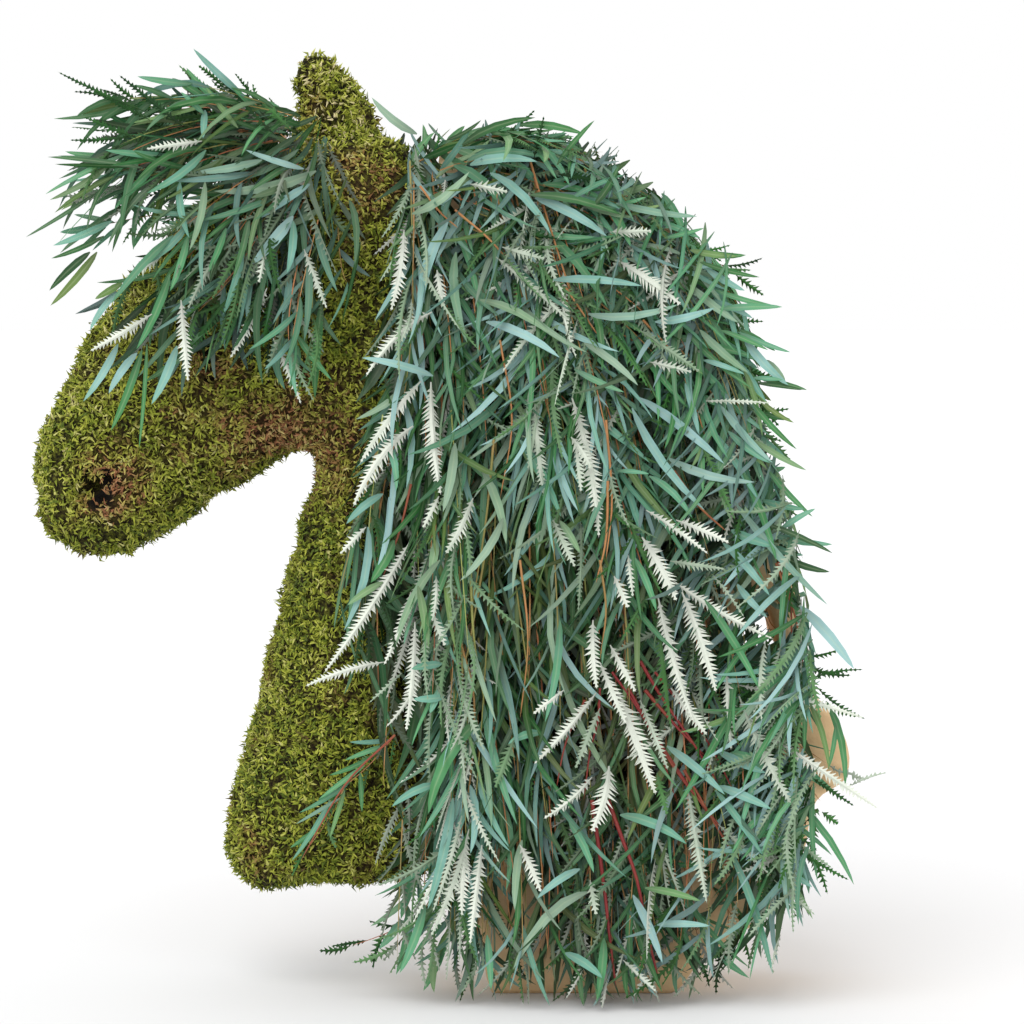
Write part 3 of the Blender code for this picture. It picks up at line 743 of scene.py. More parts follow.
FORELOCK_FAR_STRANDS = (
    ((-250, 854), (-315, 868), (-375, 868), (-430, 855), (-475, 832)),
    ((-252, 842), (-318, 825), (-385, 795), (-445, 760), (-495, 720)),
    ((-248, 832), (-300, 785), (-345, 735), (-395, 680), (-435, 640)),
    ((-236, 824), (-262, 765), (-285, 715), (-305, 670), (-318, 632)),
)


def on_curve(points, t):
    """A point on the smooth curve through evenly spaced points, straight on past its ends."""
    last = len(points) - 1
    i = int(np.clip(math.floor(t * last), 0, last - 1))
    f = t * last - i
    a, b = points[i], points[i + 1]
    before = points[i - 1] if i > 0 else 2 * a - b
    after = points[i + 2] if i + 2 <= last else 2 * b - a
    if f > 1.0 or f < 0.0:
        return a + (b - a) * f
    return 0.5 * (
        2 * a + (b - before) * f + (2 * before - 5 * a + 4 * b - after) * f * f
        + (3 * a - before - 3 * b + after) * f ** 3
    )


NECK_SIDE, HEAD_SIDE = 0.087, 0.082  # metres from the middle plane to the skin under a sheet
ROOT_RISE, RISE_RATE = 0.16, 1.3  # a sheet swells out of the skin as it falls
ROOTED_OVER = 0.035  # the share of a strand over which it comes down off the top


class Sheet:
    """A sheet of strands on one side of the horse."""

    def __init__(self, strands, side, rest, proud):
        self.strands = np.array(strands, float) * PIXEL
        self.side = side  # -1 towards the camera, 1 away from it
        self.rest = rest  # how far from the middle plane the skin is that the sheet lies on
        self.proud = proud  # how far the leaves stand out from that skin

    def place(self, u, t, share, root_y):
        """A point of the sheet. root_y is where the strand springs from, on top of the head."""
        across = on_curve(self.strands, u)
        x, z = on_curve(across, t)
        rise = math.sin(min(1.0, ROOT_RISE + RISE_RATE * t) * math.pi / 2)
        full = self.side * (self.rest + self.proud * rise * share)
        rooted = math.exp(-max(t, 0.0) / ROOTED_OVER)
        return np.array((x, full + (root_y - full) * rooted, z))


mane_sheet = Sheet(MANE_STRANDS, -1, NECK_SIDE, 0.070)
forelock_sheet = Sheet(FORELOCK_STRANDS, -1, HEAD_SIDE, 0.048)
mane_far_sheet = Sheet(MANE_FAR_STRANDS, 1, NECK_SIDE, 0.018)
forelock_far_sheet = Sheet(FORELOCK_FAR_STRANDS, 1, HEAD_SIDE, 0.024)
print("a point low in the mane:", mane_sheet.place(0.5, 0.9, 1.0, -0.05).round(3))

# %% [markdown]
# ## Two kinds of leaf
# The mane mixes two plants. One has plain willow-like blades, blue-green with a waxy bloom, that
# hang from thin orange stems. The other has comb leaves: a rib with a row of narrow teeth on each
# side, green above and felted silver-white below, and many of them show their silver side. A blade
# is a run of four-cornered rings with a slight fold along its middle. A comb is a thin rib with a
# small closed tooth at each step.


# %% What a leaf is
class Leaf:
    """A leaf before it is meshed: where it springs, where it goes, and how it is bent."""

    def __init__(self, root, run, face, length, width, bow=0.0, droop=0.0, tone=0.5, light=1.0, curl=1.6):
        self.root = np.asarray(root, float)
        self.run = unit(np.asarray(run, float))
        self.face = np.asarray(face, float)
        self.length = length
        self.width = width
        self.bow = bow  # how far the tip swings aside, as a share of the length
        self.droop = droop  # how far the tip sags, as a share of the length
        self.tone = tone
        self.light = light  # 1 on the outside of the sheet, less down in its shade
        self.curl = curl  # how far a comb may fold one of its sides away


DOWN = np.array((0.0, 0.0, -1.0))


def spines(leaves, steps, clear):
    """Each leaf's middle line at the steps, kept outside the skins, and its own three axes."""
    s = np.array(steps)[None, :, None]
    root = np.stack([leaf.root for leaf in leaves])[:, None]
    run = np.stack([leaf.run for leaf in leaves])[:, None]
    face = np.stack([leaf.face for leaf in leaves])[:, None]
    length, bow, droop = (
        np.array([getattr(leaf, name) for leaf in leaves])[:, None, None]
        for name in ("length", "bow", "droop")
    )
    side = unit(np.cross(run, face))
    line = root + length * (run * s + side * bow * s * s + DOWN * droop * s * s)
    line = lay_outside(line.reshape(-1, 3), clear).reshape(line.shape)
    along = unit(np.gradient(line, axis=1))
    side = unit(np.cross(along, np.broadcast_to(face, line.shape)))
    out = unit(np.cross(side, along))
    return line, along, side, out


sagging = Leaf((0.4, -0.3, 0.5), (1, 0, 0), (0, -1, 0), 0.1, 0.01, droop=0.2)
sagging_line = spines([sagging], (0.0, 0.5, 1.0), 0.006)[0][0]
print("a level leaf of 0.1 m from", sagging.root, "that sags a fifth ends at", sagging_line[-1])


# %% Willow-like blades
FULL_BLADE = ((0.0, 0.10, 0.28, 0.52, 0.76, 0.91, 1.0), (0.16, 0.66, 1.0, 0.98, 0.74, 0.40))
PLAIN_BLADE = ((0.0, 0.2, 0.6, 1.0), (0.35, 1.0, 0.85))  # steps, and half width at all but the tip
BLADE_FOLD = 0.16
BLADE_THICK = 0.0003


def root_shade(s):
    """A leaf's root sits down in the shade of the sprig, and its tip in the light."""
    return 0.45 + 0.55 * smooth_step(s, 0.0, 0.55)


def blades(gathered, leaves, form=FULL_BLADE, clear=0.006):
    """Meshes leaves as folded blades."""
    steps, shape = form
    line, _, side, out = spines(leaves, steps, clear)
    half = np.array([leaf.width / 2 for leaf in leaves])[:, None, None]
    wide = half * np.array(shape)[None, :, None]
    middle, side, out = line[:, :-1], side[:, :-1], out[:, :-1]
    edge = out * wide * BLADE_FOLD
    rings = np.stack([
        middle - side * wide + edge, middle - out * BLADE_THICK,
        middle + side * wide + edge, middle + out * BLADE_THICK,
    ], axis=2)
    count = len(leaves)
    points = np.concatenate([rings.reshape(count, -1, 3), line[:, -1:]], axis=1)
    each = points.shape[1]
    faces = repeated(ring_faces(len(shape), 4), count, each)
    tone = np.repeat([leaf.tone for leaf in leaves], each)
    towards_tip = np.repeat(root_shade(np.array(steps)), [4] * len(shape) + [1])
    light = np.repeat([leaf.light for leaf in leaves], each) * np.tile(towards_tip, count)
    rib = np.tile([0.0, 1.0, 0.0, 1.0] * len(shape) + [0.5], count)
    gathered.add(points.reshape(-1, 3), faces, tone=tone, light=light, rib=rib)


print("a blade has", len(ring_faces(len(FULL_BLADE[1]), 4)), "triangles")

# %% Comb leaves
RIB_STEPS = (0.0, 0.18, 0.38, 0.58, 0.78, 0.92, 1.0)
RIB_TAPER = (0.30, 0.75, 1.0, 1.0, 0.75, 0.5)
RIB_SHARE = 0.11  # half the rib's width, as a share of the comb's
RIB_HEIGHT = 0.6  # how far the rib stands up, as a share of half its width
TOOTH_EVERY = 0.0043
TOOTH_WIDE = 0.0044
TOOTH_THICK = 0.0006
TOOTH_LEAN = math.radians(56)  # between the rib and a tooth
TOOTH_FACES = np.array(((0, 3, 1), (1, 3, 2), (2, 3, 0), (0, 1, 2)))


def comb_teeth(leaf, line, along, side, out, rng):
    """The teeth of one comb leaf, as points: a base of three and a tip."""
    count = max(5, int(leaf.length / TOOTH_EVERY))
    s = 0.05 + 0.93 * (np.arange(count) + 0.5) / count

    def between(values):
        return np.stack([np.interp(s, RIB_STEPS, values[:, k]) for k in range(3)], axis=1)

    base, t, o = between(line), unit(between(along)), unit(between(out))
    aside = unit(np.cross(t, o))
    reach = leaf.width / 2 * np.minimum(1.0, (s / 0.25) ** 0.6) * np.minimum(1.0, ((1 - s) / 0.42) ** 0.7)
    points = []
    folds = rng.permutation((rng.uniform(0.0, 0.35), rng.uniform(0.2, leaf.curl)))
    for sign, fold in zip((-1, 1), folds):
        lean = (TOOTH_LEAN + rng.normal(0, 0.12, count))[:, None]
        run = unit(t * np.cos(lean) + sign * aside * np.sin(lean) - o * fold)
        tip = base + unit(run) * (reach * rng.uniform(0.80, 1.1, count))[:, None] * 1.15
        ahead = t * sign * TOOTH_WIDE / 2
        points.append(np.stack([base - ahead, base + ahead, base - o * TOOTH_THICK, tip], axis=1))
    return np.concatenate(points), np.concatenate([s, s])


def combs(gathered, leaves, clear=0.006):
    """Meshes leaves as combs."""
    rng = np.random.default_rng(len(leaves))
    line, along, side, out = spines(leaves, RIB_STEPS, clear)
    rib_faces = ring_faces(len(RIB_STEPS) - 1, 3)
    for i, leaf in enumerate(leaves):
        taper = np.array(RIB_TAPER)[:, None] * leaf.width * RIB_SHARE
        middle = line[i, :-1]
        ring = np.stack([
            middle - side[i, :-1] * taper,
            middle + side[i, :-1] * taper,
            middle + out[i, :-1] * taper * RIB_HEIGHT,
        ], axis=1)
        points = np.concatenate([ring.reshape(-1, 3), line[i, -1:]])
        ring_light = np.repeat(root_shade(np.array(RIB_STEPS)), [3] * (len(RIB_STEPS) - 1) + [1])
        gathered.add(points, rib_faces, tone=leaf.tone, light=leaf.light * ring_light, rib=1.0)
        teeth, at = comb_teeth(leaf, line[i], along[i], side[i], out[i], rng)
        faces = repeated(TOOTH_FACES, len(teeth), 4)
        tooth_light = leaf.light * np.repeat(root_shade(at), 4)
        gathered.add(teeth.reshape(-1, 3), faces, tone=leaf.tone, light=tooth_light, rib=0.0)


print("a comb of 60 mm has", 2 * int(0.060 / TOOTH_EVERY), "teeth")

# %% [markdown]
# ## Stems
# Thin orange-brown stems carry the blades, and a few thick red ones show low in the mane. A stem
# is a tube of a few sides that tapers along its line.


# %% A tapered tube
STEM_TAPER = 0.45  # a stem's radius at its end, as a share of that at its start


def tube(gathered, line, radius, sides=4, tone=0.5):
    """A tapering tube along a line of points."""
    line = np.asarray(line, float)
    along = unit(np.gradient(line, axis=0))
    side = unit(np.cross(along, (0.05, -1.0, 0.1)))
    out = np.cross(side, along)
    taper = np.linspace(1.0, STEM_TAPER, len(line))[:-1, None] * radius
    rings = [
        line[:-1] + taper * (side[:-1] * math.cos(a) + out[:-1] * math.sin(a))
        for a in (2 * math.pi * k / sides for k in range(sides))
    ]
    points = np.concatenate([np.stack(rings, axis=1).reshape(-1, 3), line[-1:]])
    gathered.add(points, ring_faces(len(line) - 1, sides), tone=tone)


print("a stem of three sides has", len(ring_faces(5, 3)), "triangles on five rings")

# %% [markdown]
# ## Growing sprigs
# A sprig is a stem with leaves to its left and right in turn. It starts somewhere in the sheet,
# follows the strands, and rises slowly out of the mass. Its leaves leave the stem at a narrow
# angle and sag a little. Towards the back of the crest they splay outwards, as they do in the
# photograph, and every leaf is turned about its own run by chance, so that some show an edge.


# %% Turning and splaying
def turned(vector, axis, angle):
    """A vector turned about a unit axis."""
    return (
        vector * math.cos(angle) + np.cross(axis, vector) * math.sin(angle)
        + axis * np.dot(axis, vector) * (1 - math.cos(angle))
    )


def mane_splay(u, t):
    """How far the mane's leaves turn away from their strand, in radians, positive to the rear."""
    crown = 46 * smooth_step(u, 0.15, 0.70) * math.exp(-((t / 0.36) ** 2))
    rear = 32 * smooth_step(u, 0.42, 0.95) + 10 * smooth_step(u, 0.4, 0.8) * smooth_step(t, 0.35, 0.6)
    front = (
        -24 * (1 - smooth_step(u, 0.0, 0.22))
        * smooth_step(t, 0.30, 0.42) * (1 - smooth_step(t, 0.55, 0.7))
    )
    return math.radians(crown + rear + front)


def no_splay(u, t):
    return 0.0


print("splay halfway across the crest:", round(math.degrees(mane_splay(0.5, 0.0)), 1), "degrees")


# %% A sprig and where it lies
class Sprig:
    """One stem with its leaves. outward is the way its leaves face."""

    def __init__(self, line, outward, light, splay, rng):
        self.line = np.asarray(line, float)
        self.along = unit(np.gradient(self.line, axis=0))
        self.outward = np.asarray(outward, float)
        self.light = light
        self.splay = splay
        self.rng = rng

    def leaves(self, every, length, width, angle, roll, droop, tone):
        """Leaves on alternate sides. length, width, angle and tone are (least, most)."""
        rng = self.rng
        made = []
        own_tone = rng.uniform(*tone)
        run_length = float(np.linalg.norm(np.diff(self.line, axis=0), axis=1).sum())
        count = max(3, int(run_length / every))
        for k in range(count + 1):
            spot = k / count * (len(self.line) - 1)
            i = min(int(spot), len(self.line) - 2)
            root = self.line[i] + (self.line[i + 1] - self.line[i]) * (spot - i)
            along = self.along[i]
            outward = unit(self.outward - along * np.dot(self.outward, along))
            lean = math.radians(rng.uniform(*angle)) * (1 if k % 2 else -1)
            if k == count:
                lean *= 0.3
            run = turned(along, outward, -lean + self.splay[i])
            run = unit(run + outward * rng.uniform(-0.08, 0.24))
            face = turned(outward, run, math.radians(rng.gauss(0, roll)))
            size = rng.uniform(*length)
            drop = root[2] - (root + run * size)[2] + droop * size
            if drop > root[2] - FLOOR_CLEAR:
                size *= max(0.0, root[2] - FLOOR_CLEAR) / drop
            if size < 0.4 * length[0]:
                continue
            made.append(Leaf(
                root, run, face, size, rng.uniform(*width) * (0.6 + 0.4 * size / length[1]),
                rng.choice((-1, 1)) * rng.uniform(0.05, 0.55), rng.uniform(0.4, 1.0) * droop,
                float(np.clip(own_tone + rng.uniform(-0.13, 0.13), 0, 1)),
                float(np.clip(self.light[i] + rng.uniform(-0.12, 0.12), 0.05, 1)),
            ))
        return made


FURROW_DEPTH = 0.42  # how far the sheet's locks stand out over the furrows between, as a share


def sprig_in(sheet, u, t, length, share, splay, last_t, rng):
    """A sprig that follows a sheet's strands, and rises slowly out of it."""
    root_y = sheet.side * rng.uniform(-0.01, 0.075)
    drift = rng.uniform(-0.06, 0.06)
    fall = max(0.2, float(np.linalg.norm(sheet.place(u, 1.0, 1, 0) - sheet.place(u, 0.0, 1, 0))))
    t = min(t, max(0.0, last_t - length / fall))
    steps = max(4, int(length / 0.024))
    along = np.arange(steps + 1) / steps
    places = [(u + drift * k, t + length / fall * k) for k in along]
    furrow = np.array([noise.noise(Vector((6.5 * a, 2.0 * b, 5.0 * sheet.side))) for a, b in places])
    shares = share - 0.25 + 0.32 * along + FURROW_DEPTH * furrow
    line = np.array([sheet.place(a, b, out, root_y) for (a, b), out in zip(places, shares)])
    line[:, 2] += 0.016 * np.exp(-np.array([b for a, b in places]) / 0.05)
    turn = [splay(a, b) * sheet.side for a, b in places]
    light = (0.12 + 0.88 * np.clip((shares + 0.1) / 1.1, 0, 1) ** 1.3) * np.clip(0.9 + furrow, 0.45, 1.15)
    return Sprig(line, (0.0, sheet.side, 0.0), light * rng.uniform(0.75, 1.1), turn, rng)


def chance_sprig(sheet, across, down, length, share, splay, last_t, rng):
    """A sprig at a chance place. across, down, length and share are (least, most)."""
    u, t, span = rng.uniform(*across), rng.uniform(*down), rng.uniform(*length)
    return sprig_in(sheet, u, t, span, rng.uniform(*share), splay, last_t, rng)


def sprig_seen(row, rng):
    """A sprig placed from where its stem starts to where it ends in the photograph."""
    start_column, start_row, end_column, end_row, depth, bend = row[:6]
    start = np.array(at_pixel(start_column, start_row, -depth * PIXEL))
    end = np.array(at_pixel(end_column, end_row, -(depth + rng.uniform(-12, 16)) * PIXEL))
    across = np.cross(end - start, (0.0, 1.0, 0.0))
    s = np.linspace(0, 1, 7)[:, None]
    line = start + (end - start) * s + across * bend * 4 * s * (1 - s)
    outward = unit(np.array((0.0, -1.0, 0.0)) + np.array((0.0, 0.5, 0.5)) * rng.uniform(0, 1))
    return Sprig(line, outward, np.full(7, 0.85), np.zeros(7), rng)


seen_line = sprig_seen((410, 168, 468, 148, 84, 0.10), random.Random(0)).line
print("a sprig seen from pixel 410, 168 starts at", seen_line[0].round(3))

# %% How far the tips reach
# outlines in pixel columns and rows, inside which the tips end in the photograph
MANE_REACH = (
    (380, 112), (470, 126), (572, 126), (592, 162), (624, 192), (662, 216), (700, 242), (722, 272),
    (742, 304), (756, 342), (768, 388), (786, 440), (800, 500), (806, 560), (812, 610), (824, 680),
    (838, 740), (856, 790), (846, 860), (812, 915), (774, 978), (700, 1002), (600, 1010),
    (430, 1002), (385, 968), (362, 930), (372, 860), (382, 800), (372, 730), (335, 690), (330, 600),
    (338, 520), (352, 440), (352, 370), (372, 310), (372, 160),
)
FORELOCK_REACH = (
    (20, 245), (38, 150), (50, 62), (110, 62), (150, 82), (195, 42), (262, 90), (300, 128),
    (335, 148), (372, 168), (372, 285), (332, 400), (300, 410), (240, 372), (190, 388), (150, 452),
    (105, 438), (80, 402), (45, 312),
)
SHORTENINGS = 3
SHORTER = 0.72


def inside(outline, column, row):
    """Whether a pixel is inside an outline."""
    hit = False
    for (x1, y1), (x2, y2) in zip(outline, outline[1:] + outline[:1]):
        if (y1 > row) != (y2 > row) and column < x1 + (x2 - x1) * (row - y1) / (y2 - y1):
            hit = not hit
    return hit


def kept_within(leaves, outline):
    """Shortens leaves whose tips would pass the outline, and leaves out those that still do."""
    kept = []
    for leaf in leaves:
        side = unit(np.cross(leaf.run, leaf.face))
        swing = leaf.run + side * leaf.bow + DOWN * leaf.droop
        for _ in range(SHORTENINGS):
            if inside(outline, *seen_at(leaf.root + swing * leaf.length)):
                kept.append(leaf)
                break
            leaf.length *= SHORTER
    return kept


def stem_within(gathered, line, radius, tone, outline):
    """A stem along a line, cut off where it would leave the outline."""
    seen = [inside(outline, *seen_at(point)) for point in line]
    count = seen.index(False) if False in seen else len(seen)
    if count >= 3:
        tube(gathered, line[:count], radius, 3, tone)


print("corners of the outlines:", len(MANE_REACH), len(FORELOCK_REACH))


# %% Gaps and thin places
def places_at(*rows):
    """Pixel columns, rows and reaches, turned into x, z and metres."""
    return np.array([
        (at_pixel(column, row, -0.10).x, at_pixel(column, row, -0.10).z, reach * PIXEL)
        for column, row, reach in rows
    ])


BOARD_GAPS = places_at(  # where the board shows
    (505, 862, 15), (512, 893, 17), (684, 848, 15), (728, 905, 17), (728, 590, 13), (760, 572, 17),
    (780, 628, 14), (815, 735, 27), (756, 614, 13), (562, 970, 12), (545, 846, 8), (706, 850, 9),
)
SHADY_PLACES = places_at(  # where the leaves are thin and the shade behind them shows
    (640, 740, 40), (700, 800, 26), (592, 730, 24), (735, 640, 38), (470, 640, 18), (765, 760, 36),
    (710, 880, 28), (560, 870, 24), (730, 500, 22), (575, 445, 20),
)


def clear_of(places, leaves, rng, keep):
    """Leaves out most leaves that would hide a place."""
    kept = []
    for leaf in leaves:
        line = leaf.root + np.outer((0.15, 0.35, 0.55, 0.75, 0.95), leaf.run) * leaf.length
        away = np.hypot(line[:, :1] - places[:, 0], line[:, 2:] - places[:, 1]) - places[:, 2]
        if away.min() > 0 or rng.random() < keep:
            kept.append(leaf)
    return kept


def trimmed(leaves, rng, keep):
    """The mane's leaves, cleared of the gaps and kept within the outline."""
    return kept_within(clear_of(BOARD_GAPS, leaves, rng, keep), MANE_REACH)


def thinned(leaves, share, rng):
    """Leaves out a share of the leaves low down, where the sprigs end one by one."""
    return [
        leaf for leaf in leaves
        if rng.random() > share * (1 - smooth_step(leaf.root[2], 0.05, 0.24))
    ]


print("gaps where the board shows:", len(BOARD_GAPS))

# %% The mane's sprigs
MANE_SPRIGS = 165  # of willow-like blades
MANE_COMB_SPRIGS = 84
MANE_SHADE_SPRIGS = 95  # dark ones, close to the board
MANE_FOOT_SPRIGS = 34  # of combs, low down
MANE_LAST = 0.93  # how far down the sheet a stem may end, as leaves go on beyond it
MANE_FOOT_LAST = 0.97
REAR_FROM = 0.11  # x, behind which a sprig counts as one of the rear edge
STEMS_TO = 0.168  # x, up to which a mane sprig's stem is drawn
mane_rng = random.Random(5)
mane_blades, mane_combs, mane_shade = [], [], []
mane_stems = Gathered("tone")


def start_in(rng, crest_share):
    """Where a sprig starts: often on the crest, or else anywhere down the sheet."""
    if rng.random() < crest_share:
        return rng.uniform(0.0, 0.05)
    return rng.uniform(0.05, 0.85)


def across_mane(rng, t, length):
    """A place across the mane. High up and low down its front edge keeps off the moss."""
    end = t + length / 0.83
    front = 0.10 if end < 0.40 else 0.03 if end < 0.72 else 0.21
    return rng.uniform(front, 0.97)


def sprig_rear(sprig):
    """Whether a sprig ends near the mane's rear edge, where more light falls through it."""
    return sprig.line[-1][0] > REAR_FROM


def grow_stem(sprig, forward, radius, tone_of):
    """A sprig's stem. Right along the rear edge the photograph shows few, so there it is left out."""
    if sprig.line[-1][0] < STEMS_TO:
        stem_within(mane_stems, sprig.line[1:] - (0, forward, 0), radius, tone_of, MANE_REACH)


def mane_sprig(crest_share, lengths, share):
    """A sprig at a chance place of the mane. lengths and share are (least, most)."""
    t, length = start_in(mane_rng, crest_share), mane_rng.uniform(*lengths)
    u = across_mane(mane_rng, t, length)
    return sprig_in(mane_sheet, u, t, length, mane_rng.uniform(*share), mane_splay, MANE_LAST, mane_rng)


for _ in range(MANE_SPRIGS):
    sprig = mane_sprig(0.22, (0.18, 0.34), (0.30, 0.95))
    # the rear sprigs' blades take paler tones: their own colour, shifted paler as painted light for the
    # light that falls through them there
    tones = (0.35, 1.15) if sprig_rear(sprig) else (0.0, 1.0)
    mane_blades += sprig.leaves(0.0165, (0.055, 0.120), (0.0046, 0.0082), (8, 32), 42, 0.10, tones)
    shown = 0.0006 if sprig_rear(sprig) else 0.0011
    grow_stem(sprig, 0.004, shown, mane_rng.uniform(0.3, 0.9))

for _ in range(MANE_COMB_SPRIGS):
    sprig = mane_sprig(0.2, (0.14, 0.26), (0.40, 1.0))
    silver = (0.1, 0.8) if sprig_rear(sprig) else (0.1, 1.15)
    mane_combs += sprig.leaves(0.027, (0.050, 0.105), (0.010, 0.017), (10, 34), 40, 0.12, silver)
    grow_stem(sprig, 0.0, 0.0009, mane_rng.uniform(0.3, 1.0))

for _ in range(MANE_SHADE_SPRIGS):
    sprig = mane_sprig(0.15, (0.2, 0.34), (-0.1, 0.25))
    mane_shade += sprig.leaves(0.022, (0.070, 0.120), (0.008, 0.012), (8, 34), 30, 0.06, (0.0, 0.5))

for _ in range(MANE_FOOT_SPRIGS):
    sprig = chance_sprig(mane_sheet, (0.10, 0.97), (0.62, 0.80), (0.10, 0.17), (0.2, 1.0),
                         mane_splay, MANE_FOOT_LAST, mane_rng)
    mane_combs += sprig.leaves(0.022, (0.040, 0.070), (0.009, 0.014), (10, 36), 36, 0.10, (0.0, 1.0))
    grow_stem(sprig, 0.0, 0.0009, mane_rng.uniform(0.3, 1.0))

mane_blades = clear_of(SHADY_PLACES, thinned(mane_blades, 0.62, mane_rng), mane_rng, 0.45)
mane_combs = clear_of(SHADY_PLACES, mane_combs, mane_rng, 0.5)
mane_blades = trimmed(mane_blades, mane_rng, 0.06)
mane_combs = trimmed(mane_combs, mane_rng, 0.10)
mane_shade = trimmed(thinned(mane_shade, 0.75, mane_rng), mane_rng, 0.0)
print("mane:", len(mane_blades), "blades,", len(mane_combs), "combs,", len(mane_shade), "in its shade")

# %% The crown and the rear edge
CROWN_SPRIGS = 40  # they sweep to the rear from the crest
REAR_SPRIGS = 46  # they stand out along the rear edge
RIDGE_SPRIGS = 78  # they lie over the top of the board, to both sides
RIDGE = np.array(((-130, 842), (-98, 846), (-30, 840), (42, 810), (118, 736))) * PIXEL
rear_rng = random.Random(33)
rear_blades, rear_combs = [], []


def free_line(start, run, length, sag, steps=6):
    """A stem that leaves its start along run and sags."""
    s = np.linspace(0, 1, steps + 1)[:, None]
    return start + unit(np.asarray(run, float)) * length * s + DOWN * sag * length * s * s


def leaves_from(line, facing, light, blade_form, comb_form, with_blades):
    """Leaves and a stem along a free line. The forms are what Sprig.leaves takes."""
    sprig = Sprig(line, facing, np.full(len(line), light), np.zeros(len(line)), rear_rng)
    if with_blades:
        rear_blades.extend(sprig.leaves(*blade_form))
    else:
        rear_combs.extend(sprig.leaves(*comb_form))
    stem_within(mane_stems, line, 0.0008, rear_rng.uniform(0.3, 0.9), MANE_REACH)


CROWN_BLADES = (0.015, (0.05, 0.095), (0.0055, 0.009), (10, 34), 42, 0.2, (0.2, 1.0))
CROWN_COMBS = (0.022, (0.045, 0.085), (0.010, 0.016), (12, 36), 36, 0.2, (0.0, 0.8))
# the rear edge's blades take paler tones too: their own colour, shifted paler as painted light falling
# through them
REAR_BLADES = (0.012, (0.04, 0.075), (0.005, 0.008), (10, 36), 42, 0.15, (0.3, 1.15))
REAR_COMBS = (0.017, (0.035, 0.060), (0.008, 0.013), (12, 38), 36, 0.15, (0.05, 0.7))
RIDGE_BLADES = (0.013, (0.045, 0.080), (0.0055, 0.0085), (14, 44), 36, 0.35, (0.0, 0.8))
RIDGE_COMBS = (0.018, (0.040, 0.070), (0.009, 0.014), (14, 44), 30, 0.35, (0.0, 0.5))

for number in range(CROWN_SPRIGS):
    u, t = rear_rng.uniform(0.20, 0.92), rear_rng.uniform(-0.01, 0.24)
    start = mane_sheet.place(u, t, rear_rng.uniform(0.3, 0.95), rear_rng.uniform(-0.08, -0.02))
    below = math.radians(rear_rng.uniform(0, 26) + 110 * max(t, 0.0))
    line = free_line(start, (math.cos(below), -0.12, -math.sin(below)), rear_rng.uniform(0.08, 0.16), 0.3)
    light = rear_rng.uniform(0.65, 1.1)
    leaves_from(line, (0.1, -1.0, 0.3), light, CROWN_BLADES, CROWN_COMBS, number % 5 < 3)

rear_edge = mane_sheet.strands[-1]
for number in range(REAR_SPRIGS):
    t = rear_rng.uniform(-0.08, 0.80)
    x, z = on_curve(rear_edge, t)
    x2, z2 = on_curve(rear_edge, t + 0.03)
    down = math.atan2(z2 - z, x2 - x)
    inward = rear_rng.uniform(0.045, 0.085)
    start = np.array((
        x + math.sin(down) * inward, rear_rng.uniform(-0.120, 0.01), z - math.cos(down) * inward,
    ))
    away = down + math.radians(rear_rng.uniform(14, 46))
    line = free_line(start, (math.cos(away), rear_rng.uniform(-0.2, 0.1), math.sin(away)),
                     rear_rng.uniform(0.030, 0.065), 0.15, 4)
    facing = (0.5, -1.0, 0.3) if start[1] < 0 else (0.8, 0.4, 0.4)
    light = rear_rng.uniform(0.7, 1.15)
    leaves_from(line, facing, light, REAR_BLADES, REAR_COMBS, number % 2 == 1)

for number in range(RIDGE_SPRIGS):
    along = rear_rng.uniform(0.0, 1.0)
    x, z = on_curve(RIDGE, along)
    x2, z2 = on_curve(RIDGE, along + 0.03)
    y = rear_rng.uniform(-0.065, 0.085)
    start = np.array((x, y, z - 0.002))
    rearward = rear_rng.uniform(0.35, 1.0)
    aside = 6 * (y - 0.01) + rear_rng.uniform(-0.4, 0.4)
    rise = rearward * (z2 - z) / (x2 - x) + rear_rng.uniform(-0.02, 0.10)
    line = free_line(start, (rearward, aside, rise), rear_rng.uniform(0.05, 0.10), 0.25, 4)
    light = rear_rng.uniform(0.5, 1.0)
    leaves_from(line, (0.1, 0.0, 1.0), light, RIDGE_BLADES, RIDGE_COMBS, number % 5 < 3)

rear_blades = trimmed(rear_blades, rear_rng, 0.06)
rear_combs = trimmed(rear_combs, rear_rng, 0.10)
print("crown and rear:", len(rear_blades), "blades and", len(rear_combs), "combs")

# %% The forelock's sprigs
FORELOCK_SPRIGS = 34
FORELOCK_COMB_SPRIGS = 22
FORELOCK_ROOF_SPRIGS = 18  # on top, between the two sides
FORELOCK_LAST = 0.72
forelock_rng = random.Random(8)
forelock_blades, forelock_combs = [], []
forelock_stems = Gathered("tone")


def forelock_splay(u, t):
    """Leaves low in the forelock turn down, away from the brow."""
    return math.radians(-14 * smooth_step(t, 0.2, 0.7) * (1 - smooth_step(u, 0.6, 1.0)))


for _ in range(FORELOCK_SPRIGS):
    sprig = chance_sprig(forelock_sheet, (0.0, 0.96), (0.0, 0.35), (0.10, 0.18), (0.1, 1.0),
                         forelock_splay, FORELOCK_LAST, forelock_rng)
    forelock_blades += sprig.leaves(
        0.016, (0.045, 0.085), (0.0050, 0.0085), (10, 34), 40, 0.26, (0.0, 0.8)
    )
    tube(forelock_stems, sprig.line[1:], 0.0008, 3, forelock_rng.uniform(0.2, 0.8))

for _ in range(FORELOCK_COMB_SPRIGS):
    sprig = chance_sprig(forelock_sheet, (0.0, 0.96), (0.0, 0.3), (0.09, 0.16), (0.2, 0.9),
                         forelock_splay, FORELOCK_LAST, forelock_rng)
    forelock_combs += sprig.leaves(
        0.025, (0.045, 0.080), (0.011, 0.017), (12, 36), 36, 0.16, (0.0, 0.8)
    )
    tube(forelock_stems, sprig.line[1:], 0.0009, 3, forelock_rng.uniform(0.3, 1.0))

